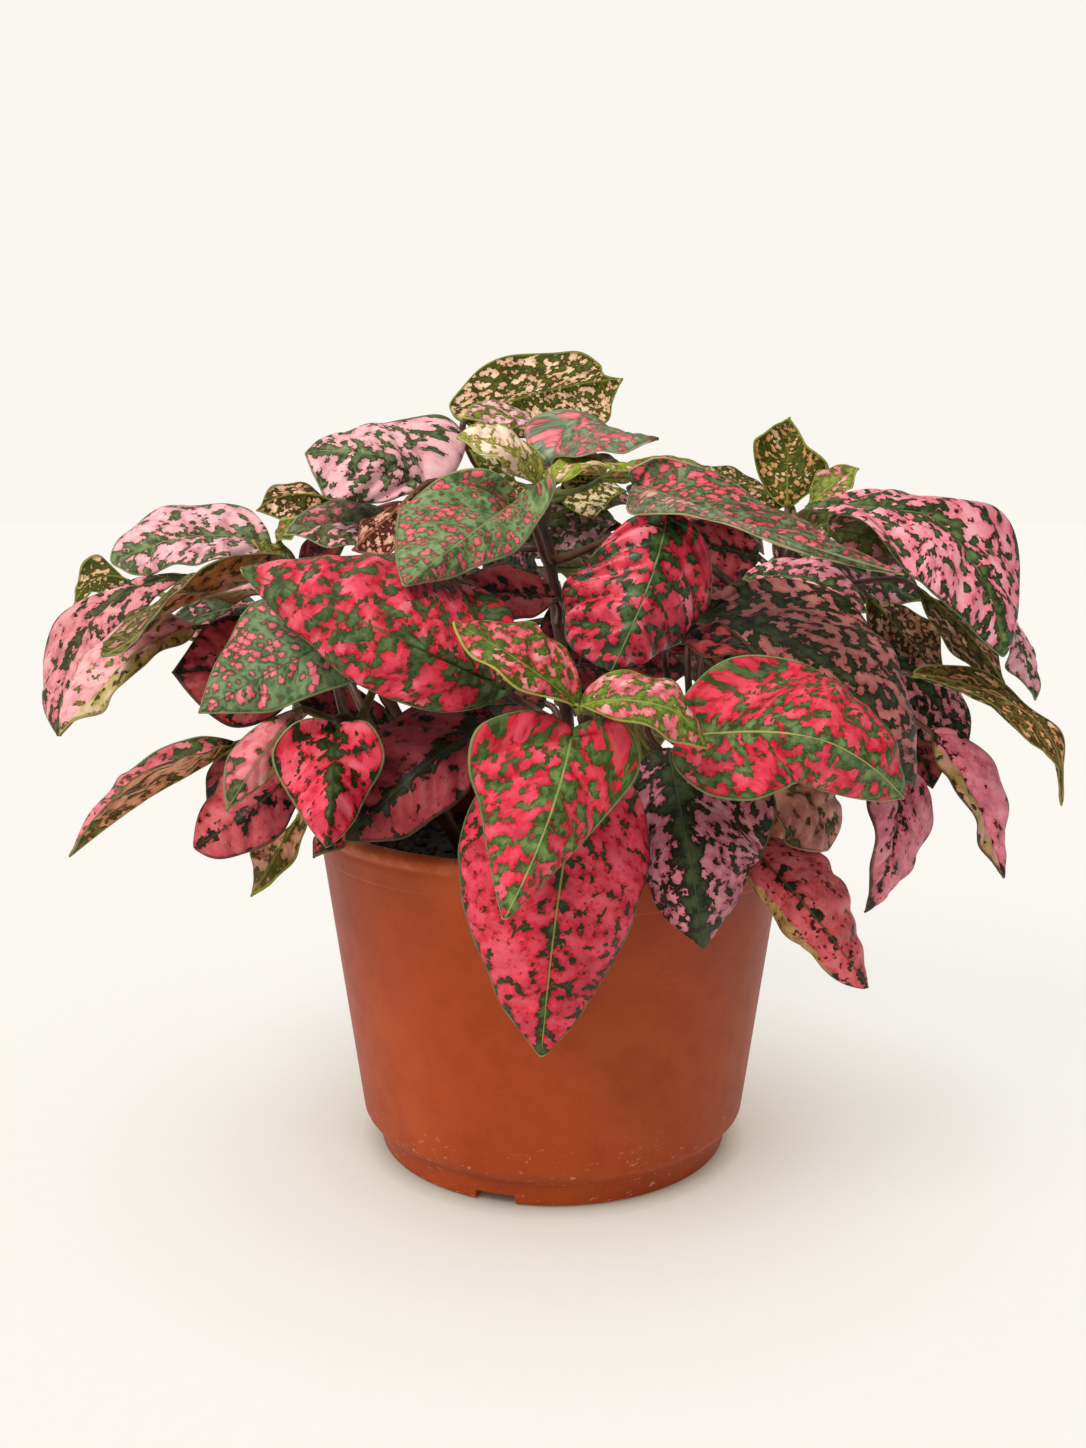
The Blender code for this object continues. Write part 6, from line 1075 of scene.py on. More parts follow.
def leaf_shape(row, number, rows=78, stalk=9, sunk=0.5, relief=None):
    """One leaf as (points, faces, slots, flat, skin, span), in mm."""
    blade = Blade(row["J"], row["M"], row["T"], row["L"], row["R"], row["shape"], **row["opt"])
    r0, r1, points = STEMS[row["stem"]]
    rail = Rail(points)
    p, t, _ = rail.at(row["foot"] * rail.length)
    junction = np.asarray(row["J"], float)
    out = unit((junction - p) - t * float(np.dot(junction - p, t)))
    foot = p + out * (r0 + (r1 - r0) * row["foot"] - sunk)
    _, t0, b0 = blade.rail.at(0.0)
    path = stalk_path(foot, junction, t0, np.cross(b0, t0) * 1.5, out=out)

    opt = dict(quilt=0.55, veins=7, groove=0.18, ruffle=0.42, rib=0.55)
    opt.update(relief or {})
    v = np.concatenate([[0.008, 0.02, 0.035], np.linspace(0.055, 0.965, rows - 6), [0.98, 0.99, 0.997]])
    n = len(v)
    halves, data = [], []
    for s in (-1.0, 1.0):
        grid = blade.surf(v[:, None], COLUMNS[None, :], s)
        m = np.clip(blade.root(v, s), 0.0, 1.0)
        q, tan, _ = blade.rail.at(m * blade.len)
        d = grid - q[:, None, :]
        along = np.sum(d * tan[:, None, :], axis=2)
        size = np.linalg.norm(d, axis=2)
        across = np.sqrt(np.maximum(0.0, size ** 2 - along ** 2))
        halves.append(grid)
        data.append((m, along, across, size))
    centre = 0.5 * (halves[0][:, :1] + halves[1][:, :1])
    grid = np.concatenate([halves[0][:, :0:-1], centre, halves[1][:, 1:]], axis=1)

    def both(left, right):
        return np.concatenate([left[:, :0:-1], 0.5 * (left[:, :1] + right[:, :1]), right[:, 1:]], axis=1)

    u = both(*[np.broadcast_to(COLUMNS, (n, len(COLUMNS)))] * 2)
    m = both(*[np.repeat(k[0][:, None], len(COLUMNS), axis=1) for k in data])
    along = both(data[0][1], data[1][1])
    across = both(-data[0][2], data[1][2])
    size = both(data[0][3], data[1][3])
    edge = both(*[k[2][:, -1:] - k[2] for k in data])
    side = np.sign(np.concatenate([-np.ones(ACROSS), [0.0], np.ones(ACROSS)]))[None, :]
    count = opt["veins"]
    phase = count * (m + 0.02 - 0.07 * u ** 2) + np.where(side < 0, 0.35, 0.0)
    vein = 2.0 * np.abs((phase % 1.0) - 0.5)
    vein = np.where(m * blade.len < 0.02 * blade.len, 1.0, vein)
    vein[:, ACROSS] = 0.5 * (vein[:, ACROSS - 1] + vein[:, ACROSS + 1])
    fade = np.clip(u / 0.16, 0, 1) * np.clip((1.0 - u) / 0.22, 0, 1) ** 0.7 * np.clip((1.02 - m) / 0.25, 0, 1)
    width = np.concatenate([[k[2][:, -1].max()] for k in data]).mean()
    scale = min(1.0, width / 16.0)
    up = grid_normals(grid)
    swell = opt["quilt"] * scale * fade * (0.5 - 0.5 * np.cos(math.pi * vein))
    shake = np.empty((n, 2 * ACROSS + 1))
    for i in range(n):
        for j in range(2 * ACROSS + 1):
            g = grid[i, j]
            shake[i, j] = noise.noise(Vector((g[0] * 0.11, g[1] * 0.11, g[2] * 0.11 + number * 3.7)))
    swell = swell + opt["ruffle"] * scale * shake * np.clip(u / 0.3, 0, 1)
    grid = grid + up * swell[..., None]
    up = grid_normals(grid)
    thin = 0.09 + 0.17 * (1.0 - u ** 6)
    groove = opt["groove"] * fade * np.exp(-(vein / 0.22) ** 2)
    trough = 0.22 * (1 - 0.8 * m) * np.exp(-(across / 0.7) ** 2) * np.clip(v[:, None] / 0.06, 0, 1)
    keel = opt["rib"] * (1 - 0.85 * m) * np.exp(-(across / 0.9) ** 2)
    upper = grid + up * (thin - groove - trough)[..., None]
    lower = grid - up * (thin + 0.6 * groove + keel)[..., None]

    around = np.concatenate([math.pi * (1 - (TOP + 1) / 2), -math.pi * (1 - (LOW + 1) / 2)])
    tangent = np.gradient(path, axis=0)
    tangent /= np.linalg.norm(tangent, axis=1)[:, None]
    across_path = [None] * len(path)
    across_path[-1] = unit(b0 - tangent[-1] * float(np.dot(b0, tangent[-1])))
    for i in range(len(path) - 2, -1, -1):
        across_path[i] = unit(across_path[i + 1] - tangent[i] * float(np.dot(across_path[i + 1], tangent[i])))
    rings, flats, skins, spans = [], [], [], []
    seed = 17.3 * number
    for k in range(stalk + 1):
        f = k / stalk
        i = int(round(f * (len(path) - 1)))
        r = 1.25 - 0.42 * f ** 0.6 + 0.35 * math.exp(-((f * 9) ** 2))
        high = np.cross(across_path[i], tangent[i])
        ring = path[i] + r * (np.cos(around)[:, None] * across_path[i]
                              + 0.85 * np.sin(around)[:, None] * high)
        rings.append(ring)
        back = (1 - f) * float(np.linalg.norm(junction - foot))
        flats.append(np.stack([np.full(len(around), -back), np.cos(around) * r,
                               np.full(len(around), seed)], axis=1))
        skins.append(np.tile([0.0, 1.0, 0.0], (len(around), 1)))
        spans.append(np.tile([0.0, 5.0, 0.0], (len(around), 1)))
    x = 0.55 * m * blade.len + 0.45 * (m * blade.len + along)
    y = across
    flat = np.stack([x, y, np.full_like(x, seed)], axis=2)
    skin = np.stack([u, vein, m], axis=2)
    span = np.stack([np.abs(across), np.maximum(edge, 0.0), np.full_like(x, 0.0)], axis=2)
    inner = slice(2 * ACROSS - 1, 0, -1)
    for i in range(n):
        rings.append(np.concatenate([upper[i], lower[i, inner]]))
        flats.append(np.concatenate([flat[i], flat[i, inner]]))
        skins.append(np.concatenate([skin[i], skin[i, inner]]))
        spans.append(np.concatenate([span[i], span[i, inner]]))
    k = len(around)
    verts = np.concatenate(rings + [blade.rail.p[-1][None, :]])
    flats = np.concatenate(flats + [np.array([[blade.len, 0.0, seed]])])
    skins = np.concatenate(skins + [np.array([[0.0, 1.0, 1.0]])])
    spans = np.concatenate(spans + [np.array([[0.0, 0.0, 0.0]])])
    faces, slots = [tuple(range(k - 1, -1, -1))], [2]
    last = len(verts) - 1
    for i in range(len(rings) - 1):
        a, b = i * k, (i + 1) * k
        for j in range(k):
            j2 = (j + 1) % k
            faces.append((a + j, a + j2, b + j2, b + j))
            slots.append(2 if i < stalk else (0 if j < 2 * ACROSS else 1))
    a = (len(rings) - 1) * k
    for j in range(k):
        faces.append((a + j, a + (j + 1) % k, last))
        slots.append(0 if j < 2 * ACROSS else 1)
    return verts, faces, slots, flats, skins, spans


def make_mesh(name, verts, faces, slots=None, layers=None, sharp=None):
    mesh = bpy.data.meshes.new(name)
    mesh.from_pydata((np.asarray(verts) * MM).tolist(), [], faces)
    if slots is not None:
        mesh.polygons.foreach_set("material_index", np.asarray(slots, np.int32))
    for layer, values in (layers or {}).items():
        made = mesh.attributes.new(layer, "FLOAT_VECTOR", "POINT")
        made.data.foreach_set("vector", np.asarray(values, np.float32).ravel())
    mesh.polygons.foreach_set("use_smooth", np.ones(len(mesh.polygons), bool))
    mesh.update()
    bm = bmesh.new()
    bm.from_mesh(mesh)
    bmesh.ops.recalc_face_normals(bm, faces=bm.faces)
    bm.to_mesh(mesh)
    bm.free()
    if sharp:
        mesh.set_sharp_from_angle(angle=math.radians(sharp))
    obj = bpy.data.objects.new(name, mesh)
    bpy.context.scene.collection.objects.link(obj)
    return obj


STALK = {tone: stalk_skin("stalk_" + tone, tone) for tone in ("stem", "dark", "olive", "green", "wine")}
RELIEF = {}
STALK_TONE = {}
RELIEF.update({
    "centre_hanging": dict(quilt=1.5, veins=6, ruffle=1.3, groove=0.35),
    "front_heart": dict(quilt=0.80, veins=6, ruffle=0.7, groove=0.22),
    "front_low": dict(quilt=0.70, veins=7, ruffle=0.5),
    "left_large": dict(quilt=0.95, veins=7, ruffle=0.7, groove=0.25),
    "centre_heart_green": dict(quilt=0.70, veins=6, ruffle=0.5, groove=0.30),
    "left_green": dict(quilt=0.65, veins=6, groove=0.28),
    "right_big": dict(quilt=0.85, veins=7, ruffle=0.7, groove=0.24),
    "right_large": dict(quilt=0.75, veins=7, ruffle=0.6),
    "left_heart": dict(quilt=0.60, veins=6, ruffle=0.5),
    "left_dark": dict(quilt=0.70, veins=7, ruffle=0.5),
    "back_pale_left": dict(quilt=0.60, veins=6, ruffle=0.5),
    "right_shade": dict(quilt=0.60, veins=7, ruffle=0.5),
    "right_low_mauve": dict(quilt=0.60, veins=7, ruffle=0.4),
})
STALK_TONE.update({
    "left_heart": "olive", "left_narrow_pink": "olive", "left_green": "olive", "left_low_red": "dark",
    "right_big": "olive", "right_low_mauve": "olive", "front_heart": "olive", "front_low": "olive",
    "inner_centre_left": "dark", "inner_centre_right": "dark", "inner_left_low": "dark",
    "inner_left_side": "dark", "inner_right_red": "dark", "inner_right_mid": "dark",
    "inner_right_low": "dark", "inner_centre_high": "dark", "inner_left_high": "dark",
    "right_narrow_red": "wine", "left_peek": "dark",
})


def finishes(row):
    """The three materials of a leaf: upper face, underside, petiole."""
    short = row["name"].split("_", 1)[1]
    look = dict(BASE)
    look.update(KIND[row["kind"]])
    look.update(LOOK.get(short, {}))
    under = dict(BASE)
    under.update(UNDER)
    under["size"] = look["size"]
    under.update(UNDER_KIND.get(row["kind"], {}))
    under.update(UNDER_LOOK.get(short, {}))
    young = row["kind"] in ("young", "youngpink") or row["name"].startswith("young_")
    tone = STALK_TONE.get(short, "green" if young else "dark")
    return [leaf_skin(short + "_face", look), leaf_skin(short + "_back", under), STALK[tone]]


NUMBER = {row["name"]: k + 1 for k, row in enumerate(LEAVES + YOUNG)}

for row in LEAVES:
    short = row["name"].split("_", 1)[1]
    verts, faces, slots, flats, skins, spans = leaf_shape(row, NUMBER[row["name"]], relief=RELIEF.get(short))
    obj = make_mesh("foliage_" + short, verts, faces, slots, {"flat": flats, "skin": skins, "span": spans})
    for mat in finishes(row):
        obj.data.materials.append(mat)
    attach(obj, "root")
    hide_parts(row["name"])


# ---------------------------------------------------------------------------
# Stems with their young leaves
# ---------------------------------------------------------------------------
def tube(points, r0, r1, knots, rows=70, around=18, seed=0.0):
    """A stem: round, tapering, swollen at each leaf node, with faint ridges."""
    rail = Rail(points)
    rail.frame_from(0.0, np.array([1.0, 0.2, 0.1]))
    s = np.linspace(0.0, rail.length, rows)
    p, t, b = rail.at(s)
    n = np.cross(b, t)
    ang = np.linspace(0, 2 * math.pi, around, endpoint=False)
    f = s / rail.length
    r = r0 + (r1 - r0) * f
    for k in knots:
        r = r + 0.42 * np.exp(-((f - k) * rail.length / 2.2) ** 2)
    r[-1] *= 0.55
    ridge = 1 + 0.035 * np.cos(5 * ang)[None, :] + 0.03 * np.sin(3 * ang[None, :] + 0.06 * s[:, None] + seed)
    ring = (p[:, None, :] + (r[:, None] * ridge)[..., None]
            * (np.cos(ang)[None, :, None] * b[:, None, :] + np.sin(ang)[None, :, None] * n[:, None, :]))
    verts = ring.reshape(-1, 3)
    verts = np.concatenate([verts, p[-1:] + t[-1:] * 0.6])
    faces = [tuple(range(around - 1, -1, -1))]
    for i in range(rows - 1):
        for j in range(around):
            j2 = (j + 1) % around
            faces.append((i * around + j, i * around + j2, (i + 1) * around + j2, (i + 1) * around + j))
    a = (rows - 1) * around
    for j in range(around):
        faces.append((a + j, a + (j + 1) % around, len(verts) - 1))
    return verts, faces


for stem, (r0, r1, points) in STEMS.items():
    feet = sorted({row["foot"] for row in LEAVES + YOUNG if row["stem"] == stem})
    verts, faces = tube(points, r0 * 1.02, r1, feet, seed=len(stem) * 1.3)
    count = len(verts)
    all_verts, all_faces, all_slots = [verts], list(faces), [0] * len(faces)
    layers = {k: [np.zeros((count, 3))] for k in ("flat", "skin", "span")}
    mats = [STALK["stem"]]
    for row in YOUNG:
        if row["stem"] != stem:
            continue
        short = row["name"].split("_", 1)[1]
        v2, f2, s2, flats, skins, spans = leaf_shape(
            row, NUMBER[row["name"]], rows=52, stalk=6, sunk=0.9, relief=RELIEF.get(short, dict(veins=6, quilt=0.5)))
        offset = len(mats)
        mats += finishes(row)
        all_verts.append(v2)
        all_faces += [tuple(i + count for i in face) for face in f2]
        all_slots += [offset + k for k in s2]
        count += len(v2)
        for key, values in (("flat", flats), ("skin", skins), ("span", spans)):
            layers[key].append(values)
    obj = make_mesh("shoot_" + stem, np.concatenate(all_verts), all_faces, all_slots,
                    {k: np.concatenate(x) for k, x in layers.items()})
    for mat in mats:
        obj.data.materials.append(mat)
    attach(obj, "root")
    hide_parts("stem_" + stem)


# ---------------------------------------------------------------------------
# Pot: moulded terracotta-coloured plastic
# ---------------------------------------------------------------------------
def pot_skin():
    t = Tree("pot_plastic")
    place = t.coords()
    x, y, z = t.split(place)
    broad = t.noise(place, 22.0, 3.0, 0.55)
    mottle = t.noise(place, 160.0, 4.0, 0.6)
    colour = t.ramp(broad, [(0.30, srgb("9a3a10")), (0.55, srgb("a84314")), (0.80, srgb("b5521f"))])
    colour = t.mix(t.band(mottle, 0.42, 0.68, 0.0, 0.22), colour, srgb("842a06"))
    # Water marks and dust settle towards the foot and in the groove above it.
    low = t.band(z, 0.024, 0.006, 0.0, 1.0)
    dust = t.noise(t.place(place, (1, 1, 2.2)), 420.0, 3.0, 0.7)
    flecks = t.mul(t.band(dust, 0.63, 0.70), low)
    colour = t.mix(t.mul(flecks, 0.55), colour, srgb("e0b49c"))
    # Long shallow scratches, at two slants.
    scratch = None
    for k, (turn, move) in enumerate(((0.55, 0.3), (-0.42, 1.9), (1.2, 4.4))):
        lines = t.noise(t.place(place, (38, 38, 1500), (move, move, move), (turn, 0.25 * turn, 0.0)), 1.0, 2.0, 0.5)
        thin = t.band(t.math("ABSOLUTE", t.math("SUBTRACT", lines, 0.5)), 0.0, 0.006, 1.0, 0.0)
        keep = t.band(t.noise(t.place(place, (1, 1, 1), (k * 0.7, 0.2, 0.1)), 34.0, 2.0), 0.58, 0.66)
        thin = t.mul(thin, keep)
        scratch = thin if scratch is None else t.math("MAXIMUM", scratch, thin)
    colour = t.mix(t.mul(scratch, 0.16), colour, srgb("e2a888"))
    # The top of the lip is lightened in patches: a painted highlight along the rim.
    rim = t.band(z, 0.0815, 0.0845, 0.0, 1.0)
    colour = t.mix(t.mul(t.mul(rim, t.band(mottle, 0.40, 0.60)), 0.35), colour, srgb("d98a62"))
    t.plug(colour, t.shader.inputs["Base Color"])
    rough = t.add(t.math("MULTIPLY_ADD", mottle, 0.16, 0.40), t.mul(scratch, 0.15))
    t.plug(rough, t.shader.inputs["Roughness"])
    t.shader.inputs["Specular IOR Level"].default_value = 0.20
    pits = t.noise(place, 1900.0, 2.0, 0.5)
    wave = t.noise(place, 60.0, 2.0, 0.5)
    relief = t.add(t.add(t.mul(pits, 0.12), t.mul(wave, 1.2)), t.mul(scratch, -0.25))
    t.plug(t.bump(relief, 0.35, 0.0002), t.shader.inputs["Normal"])
    return t.mat


def pot_piece():
    outer = [(57.6, 86.4), (58.2, 86.4), (58.8, 86.25), (59.35, 85.9), (59.75, 85.4), (59.95, 84.9),
             (60.0, 84.4), (59.95, 83.9), (59.75, 83.4), (59.52, 83.08), (59.38, 82.8), (59.31, 82.3)]
    slope = (59.28 - 49.7) / (80.6 - 10.0)
    levels = list(np.arange(81.4, 79.0, -0.6)) + list(np.arange(78.8, 72.6, -0.22)) \
        + list(np.linspace(72.2, 12.0, 34)) + [10.0]
    body = [(49.7 + slope * (z - 10.0), z) for z in levels]
    foot = [(49.62, 9.6), (49.42, 9.15), (49.05, 8.65), (48.4, 7.95), (47.6, 7.2), (46.95, 6.6),
            (46.45, 6.2), (46.2, 5.95), (46.1, 5.6), (45.75, 3.6), (45.5, 2.5), (45.47, 2.3), (45.2, 0.9),
            (45.1, 0.5), (44.95, 0.2), (44.6, 0.03), (44.3, 0.0), (42.8, 0.0), (42.5, 0.06), (42.3, 0.3),
            (42.25, 2.3), (42.27, 2.5), (42.5, 3.4), (42.1, 3.8), (36.0, 3.8), (24.0, 3.8), (12.0, 3.8), (4.0, 3.8)]
    inner = [(4.0, 5.4), (12.0, 5.4), (24.0, 5.4), (36.0, 5.4), (44.2, 5.4), (46.6, 7.0), (47.7, 8.6),
             (48.1, 10.4), (50.6, 29.0), (53.2, 48.0), (55.8, 67.0), (57.5, 79.8), (57.3, 83.0),
             (57.15, 85.4), (57.25, 86.1)]
    profile = outer + body + foot + inner
    steps = 288
    ang = list(np.linspace(0, 2 * math.pi, steps, endpoint=False))
    for degrees in (252.0, 12.0, 132.0):
        half = 9.5 / 2 / 44.0
        for s in (-1, 1):
            c = math.radians(degrees) + s * half
            ang += [(c - 0.004) % (2 * math.pi), (c + 0.004) % (2 * math.pi)]
    ang = np.array(sorted(set(round(a, 6) for a in ang)))
    cut = np.zeros(len(ang), bool)
    for degrees in (252.0, 12.0, 132.0):
        gap = np.abs((ang - math.radians(degrees) + math.pi) % (2 * math.pi) - math.pi)
        cut |= gap < 9.5 / 2 / 44.0
    verts = []
    step_at, step_back = math.radians(246.3), math.radians(66.3)
    for r, z in profile:
        rr = np.full(len(ang), r)
        zz = np.full(len(ang), z)
        if 72.0 < z < 79.5 and r > 57.0:
            soft = 0.5 + 0.5 * np.tanh((ang - step_at) / 0.010)
            soft = np.where(ang < step_back, 1.0, soft)
            soft = np.where((ang >= step_back) & (ang < math.radians(150)),
                            0.5 - 0.5 * np.tanh((ang - step_back - 0.05) / 0.010), soft)
            line = 77.6 - 3.4 * soft
            rr = rr + 0.16 * (0.5 + 0.5 * np.tanh((z - line) / 0.16)) - 0.05 * np.exp(-((z - line + 0.25) / 0.3) ** 2)
        elif 79.5 <= z < 82.6 and r > 57.0:
            rr = rr + 0.16
        if z < 2.45 and r > 41.0:
            zz = np.where(cut, np.maximum(zz, 2.4 + 0.02 * z), zz)
        wob = 0.10 * np.sin(2 * ang + 0.6) * min(1.0, max(0.0, z / 86.0))
        verts.append(np.stack([(rr + wob) * np.cos(ang), (rr + wob) * np.sin(ang), zz], axis=1))
    k = len(ang)
    verts = np.concatenate(verts)
    faces = []
    rows = len(profile)
    for i in range(rows):
        a, b = i * k, ((i + 1) % rows) * k
        for j in range(k):
            j2 = (j + 1) % k
            faces.append((a + j, b + j, b + j2, a + j2))
    # The middle of the base, a ring away from the middle drain hole, is left open there.
    return make_mesh("pot_shell", verts, faces, sharp=38)


pot = pot_piece()
pot.data.materials.append(pot_skin())
cutters = []
for k in range(6):
    a = math.radians(30.0 + 60.0 * k)
    bm = bmesh.new()
    bmesh.ops.create_cone(bm, cap_ends=True, segments=28, radius1=3.6 * MM, radius2=3.6 * MM, depth=8 * MM)
    mesh = bpy.data.meshes.new("drain")
    bm.to_mesh(mesh)
    bm.free()
    tool = bpy.data.objects.new("drain_%d" % k, mesh)
    tool.location = (29 * MM * math.cos(a), 29 * MM * math.sin(a), 4.6 * MM)
    bpy.context.scene.collection.objects.link(tool)
    mod = pot.modifiers.new("drain", "BOOLEAN")
    mod.operation, mod.solver, mod.object = "DIFFERENCE", "EXACT", tool
    cutters.append(tool)
bpy.context.view_layer.update()
graph = bpy.context.evaluated_depsgraph_get()
cut_mesh = bpy.data.meshes.new_from_object(pot.evaluated_get(graph))
pot.modifiers.clear()
pot.data = cut_mesh
for tool in cutters:
    bpy.data.objects.remove(tool, do_unlink=True)
pot.data.set_sharp_from_angle(angle=math.radians(38))
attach(pot, "root")
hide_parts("pot")


# ---------------------------------------------------------------------------
# Soil: crumbly peat with grit and a few pale grains
# ---------------------------------------------------------------------------
def soil_skin(name, tones):
    t = Tree(name)
    place = t.coords()
    big = t.noise(place, 130.0, 4.0, 0.65)
    small = t.noise(place, 900.0, 3.0, 0.7)
    colour = t.ramp(big, [(0.30, srgb(tones[0])), (0.55, srgb(tones[1])), (0.78, srgb(tones[2]))])
    colour = t.mix(t.band(small, 0.50, 0.72, 0.0, 0.5), colour, srgb(tones[2]))
    t.plug(colour, t.shader.inputs["Base Color"])
    t.plug(t.math("MULTIPLY_ADD", small, 0.25, 0.68), t.shader.inputs["Roughness"])
    t.plug(t.bump(t.add(big, small), 0.7, 0.0008), t.shader.inputs["Normal"])
    return t.mat


def soil_piece():
    rings, around = 58, 150
    radius = 56.4
    verts, faces = [], []
    for i in range(rings):
        r = radius * (i + 0.6) / (rings - 0.4)
        for j in range(around):
            a = 2 * math.pi * j / around
            x, y = r * math.cos(a), r * math.sin(a)
            crown = 75.6 - 2.0 * (r / radius) ** 2
            q = Vector((x * 0.16, y * 0.16, 2.0))
            z = crown + 0.9 * noise.noise(q) + 0.9 * abs(noise.noise(q * 2.7)) + 0.5 * noise.noise(q * 6.1)
            z += 0.35 * noise.noise(q * 13.0)
            verts.append((x, y, min(z, 77.2)))
    top = len(verts)
    verts.append((0.0, 0.0, 75.8))
    for j in range(around):
        faces.append((j, (j + 1) % around, top))
    for i in range(rings - 1):
        for j in range(around):
            j2 = (j + 1) % around
            faces.append((i * around + j, (i + 1) * around + j, (i + 1) * around + j2, i * around + j2))
    edge = (rings - 1) * around
    start = len(verts)
    levels = [(56.55, 72.4), (56.3, 70.6), (53.6, 52.0), (50.9, 32.0), (47.8, 10.8), (46.8, 8.9), (43.7, 5.8)]
    for r, z in levels:
        for j in range(around):
            a = 2 * math.pi * j / around
            verts.append((r * math.cos(a), r * math.sin(a), z))
    for i in range(len(levels)):
        a = edge if i == 0 else start + (i - 1) * around
        b = start + i * around
        for j in range(around):
            j2 = (j + 1) % around
            faces.append((a + j, b + j, b + j2, a + j2))
    faces.append(tuple(start + (len(levels) - 1) * around + j for j in range(around)))
    slots = [0] * len(faces)
    rng = np.random.default_rng(11)
    ball = bmesh.new()
    bmesh.ops.create_icosphere(ball, subdivisions=2, radius=1.0)
    bv = np.array([v.co[:] for v in ball.verts])
    bf = [tuple(v.index for v in f.verts) for f in ball.faces]
    ball.free()
    for k in range(430):
        r = 55.0 * math.sqrt(rng.random())
        a = rng.random() * 2 * math.pi
        pale = rng.random() < 0.07
        size = rng.uniform(0.5, 1.7) if not pale else rng.uniform(0.6, 1.2)
        shape = rng.uniform(0.55, 1.3, 3)
        x, y = r * math.cos(a), r * math.sin(a)
        z = 75.6 - 2.0 * (r / radius) ** 2 + 0.5 + 0.25 * size
        turn = rng.random() * math.pi
        c, s = math.cos(turn), math.sin(turn)
        lump = np.array([1 + 0.45 * noise.noise(Vector(p * 1.4 + k)) for p in bv])
        q = bv * lump[:, None] * shape * size
        q = np.stack([q[:, 0] * c - q[:, 1] * s, q[:, 0] * s + q[:, 1] * c, q[:, 2]], axis=1) + (x, y, z)
        base = len(verts)
        verts += [tuple(p) for p in q]
        faces += [tuple(i + base for i in f) for f in bf]
        slots += [1 if pale else 0] * len(bf)
    obj = make_mesh("soil_bed", verts, faces, slots)
    obj.data.materials.append(soil_skin("soil_peat", ("0d0906", "1c130d", "3a291d")))
    obj.data.materials.append(soil_skin("soil_grains", ("8f8676", "b8ae9c", "ddd4c4")))
    return obj


soil = soil_piece()
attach(soil, "root")
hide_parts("soil")


# ---------------------------------------------------------------------------
# Studio: pale floor that runs out into a pale surround, soft light
# ---------------------------------------------------------------------------
def floor_skin():
    t = Tree("studio_floor")
    place = t.coords()
    paper = t.noise(place, 240.0, 4.0, 0.7)
    colour = t.mix(t.band(paper, 0.35, 0.70, 0.0, 1.0), FLOOR_TONE[0], FLOOR_TONE[1])
    t.plug(colour, t.shader.inputs["Base Color"])
    t.shader.inputs["Roughness"].default_value = 0.85
    t.shader.inputs["Specular IOR Level"].default_value = 0.0
    # The paper's own glow is dimmed in a ring round the foot: a painted contact shadow where the pot stands on it.
    away = t.nodes.new("ShaderNodeVectorMath")
    away.operation = "LENGTH"
    t.plug(place, away.inputs[0])
    glow_and_painted_shadow = t.ramp(away.outputs["Value"], [
        (0.039, srgb("2c231a")), (0.0445, srgb("6e6050")), (0.0468, srgb("b2a492")),
        (0.0492, srgb("d4c8b8")), (0.054, srgb("ded4c4")), (0.068, srgb("ebe3d6")),
        (0.090, srgb("f4eee5")), (0.125, srgb("faf6f0"))])
    t.plug(glow_and_painted_shadow, t.shader.inputs["Emission Color"])
    # Painted light: the glow is a little stronger behind the plant on the right, to lighten the lamp's shadow that
    # falls there.
    painted_light_distance = t.nodes.new("ShaderNodeVectorMath")
    painted_light_distance.operation = "DISTANCE"
    t.plug(place, painted_light_distance.inputs[0])
    painted_light_distance.inputs[1].default_value = (0.118, 0.095, 0.0)
    lift = t.nodes.new("ShaderNodeMapRange")
    lift.interpolation_type = "SMOOTHERSTEP"
    lift.inputs["From Min"].default_value = 0.0
    lift.inputs["From Max"].default_value = 0.145
    lift.inputs["To Min"].default_value = 0.795
    lift.inputs["To Max"].default_value = 0.72
    t.plug(painted_light_distance.outputs["Value"], lift.inputs["Value"])
    t.plug(lift.outputs[0], t.shader.inputs["Emission Strength"])
    return t.mat


FLOOR_TONE = ((0.262, 0.262, 0.262, 1.0), (0.272, 0.272, 0.272, 1.0))
BACK = srgb("faf6f0")

mesh = bpy.data.meshes.new("studio_floor")
bm = bmesh.new()
bmesh.ops.create_circle(bm, cap_ends=True, segments=96, radius=14.0)
bm.to_mesh(mesh)
bm.free()
floor = bpy.data.objects.new("studio_floor", mesh)
floor.location = (0.0, 0.0, -0.0003)
bpy.context.scene.collection.objects.link(floor)
floor.data.materials.append(floor_skin())

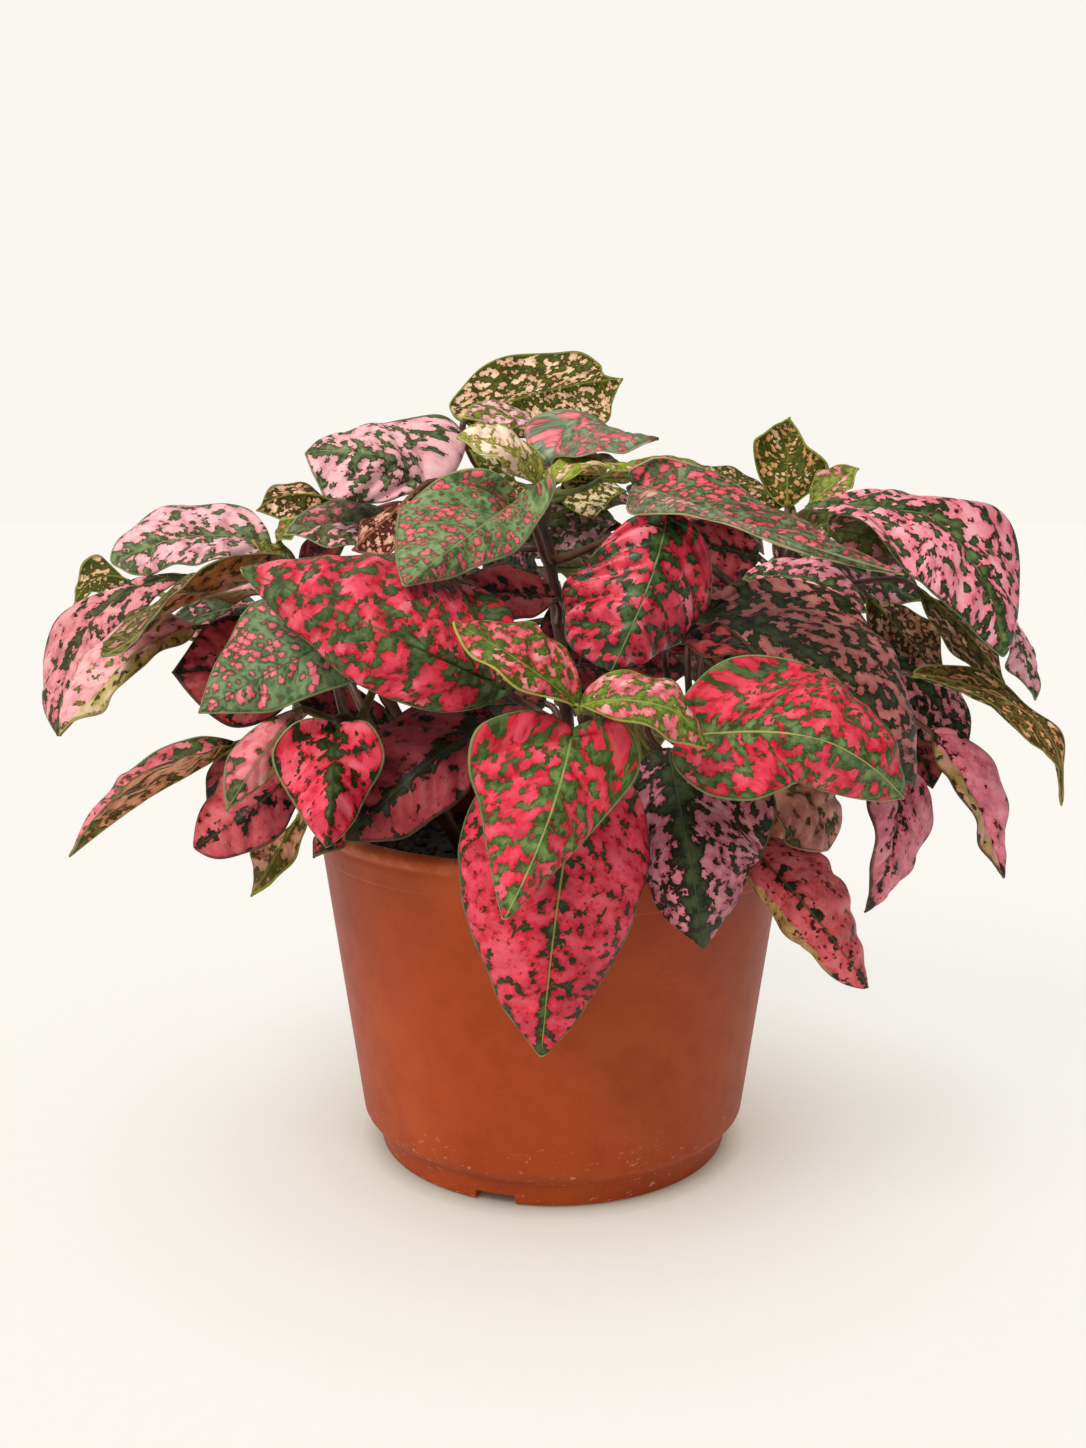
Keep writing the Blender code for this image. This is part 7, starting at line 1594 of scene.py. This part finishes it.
world = bpy.data.worlds.new("studio")
bpy.context.scene.world = world
world.use_nodes = True
wn, wl = world.node_tree.nodes, world.node_tree.links
seen = wn["Background"]
seen.inputs["Color"].default_value = BACK
seen.inputs["Strength"].default_value = 1.0
fill = wn.new("ShaderNodeBackground")
fill.inputs["Color"].default_value = (1.0, 0.965, 0.91, 1.0)
aim = wn.new("ShaderNodeTexCoord")
aside = wn.new("ShaderNodeSeparateXYZ")
wl.new(aim.outputs["Generated"], aside.inputs[0])
slope = wn.new("ShaderNodeMapRange")
slope.inputs["From Min"].default_value = -0.9
slope.inputs["From Max"].default_value = 0.9
slope.inputs["To Min"].default_value = 0.62
slope.inputs["To Max"].default_value = 0.20
wl.new(aside.outputs[0], slope.inputs["Value"])
wl.new(slope.outputs[0], fill.inputs["Strength"])
ray = wn.new("ShaderNodeLightPath")
pick = wn.new("ShaderNodeMixShader")
wl.new(ray.outputs["Is Camera Ray"], pick.inputs[0])
wl.new(fill.outputs[0], pick.inputs[1])
wl.new(seen.outputs[0], pick.inputs[2])
wl.new(pick.outputs[0], wn["World Output"].inputs["Surface"])


def sun(name, toward, strength, spread, colour):
    """A soft lamp shining along `toward`."""
    data = bpy.data.lights.new(name, "SUN")
    data.energy = strength
    data.angle = math.radians(spread)
    data.color = colour
    lamp = bpy.data.objects.new(name, data)
    lamp.rotation_euler = Vector(toward).to_track_quat("-Z", "Y").to_euler()
    bpy.context.scene.collection.objects.link(lamp)


sun("key", (0.46, 0.52, -0.80), 2.0, 26.0, (1.0, 0.965, 0.91))
sun("top", (-0.10, 0.10, -1.0), 0.55, 60.0, (1.0, 0.975, 0.93))

bpy.context.scene.view_settings.view_transform = "Standard"

camera = bpy.data.objects.new("camera", bpy.data.cameras.new("camera"))
camera.data.lens = 1400.0 * 36.0 / 1448.0
camera.data.sensor_width = 36.0
camera.data.sensor_fit = "AUTO"
camera.data.clip_start = 0.01
camera.data.clip_end = 100.0
camera.location = (-0.0026, -0.3538, 0.1630)
camera.rotation_euler = (math.pi / 2 - 0.1537, 0.0, 0.0)
bpy.context.scene.collection.objects.link(camera)
bpy.context.scene.camera = camera

bpy.context.view_layer.update()
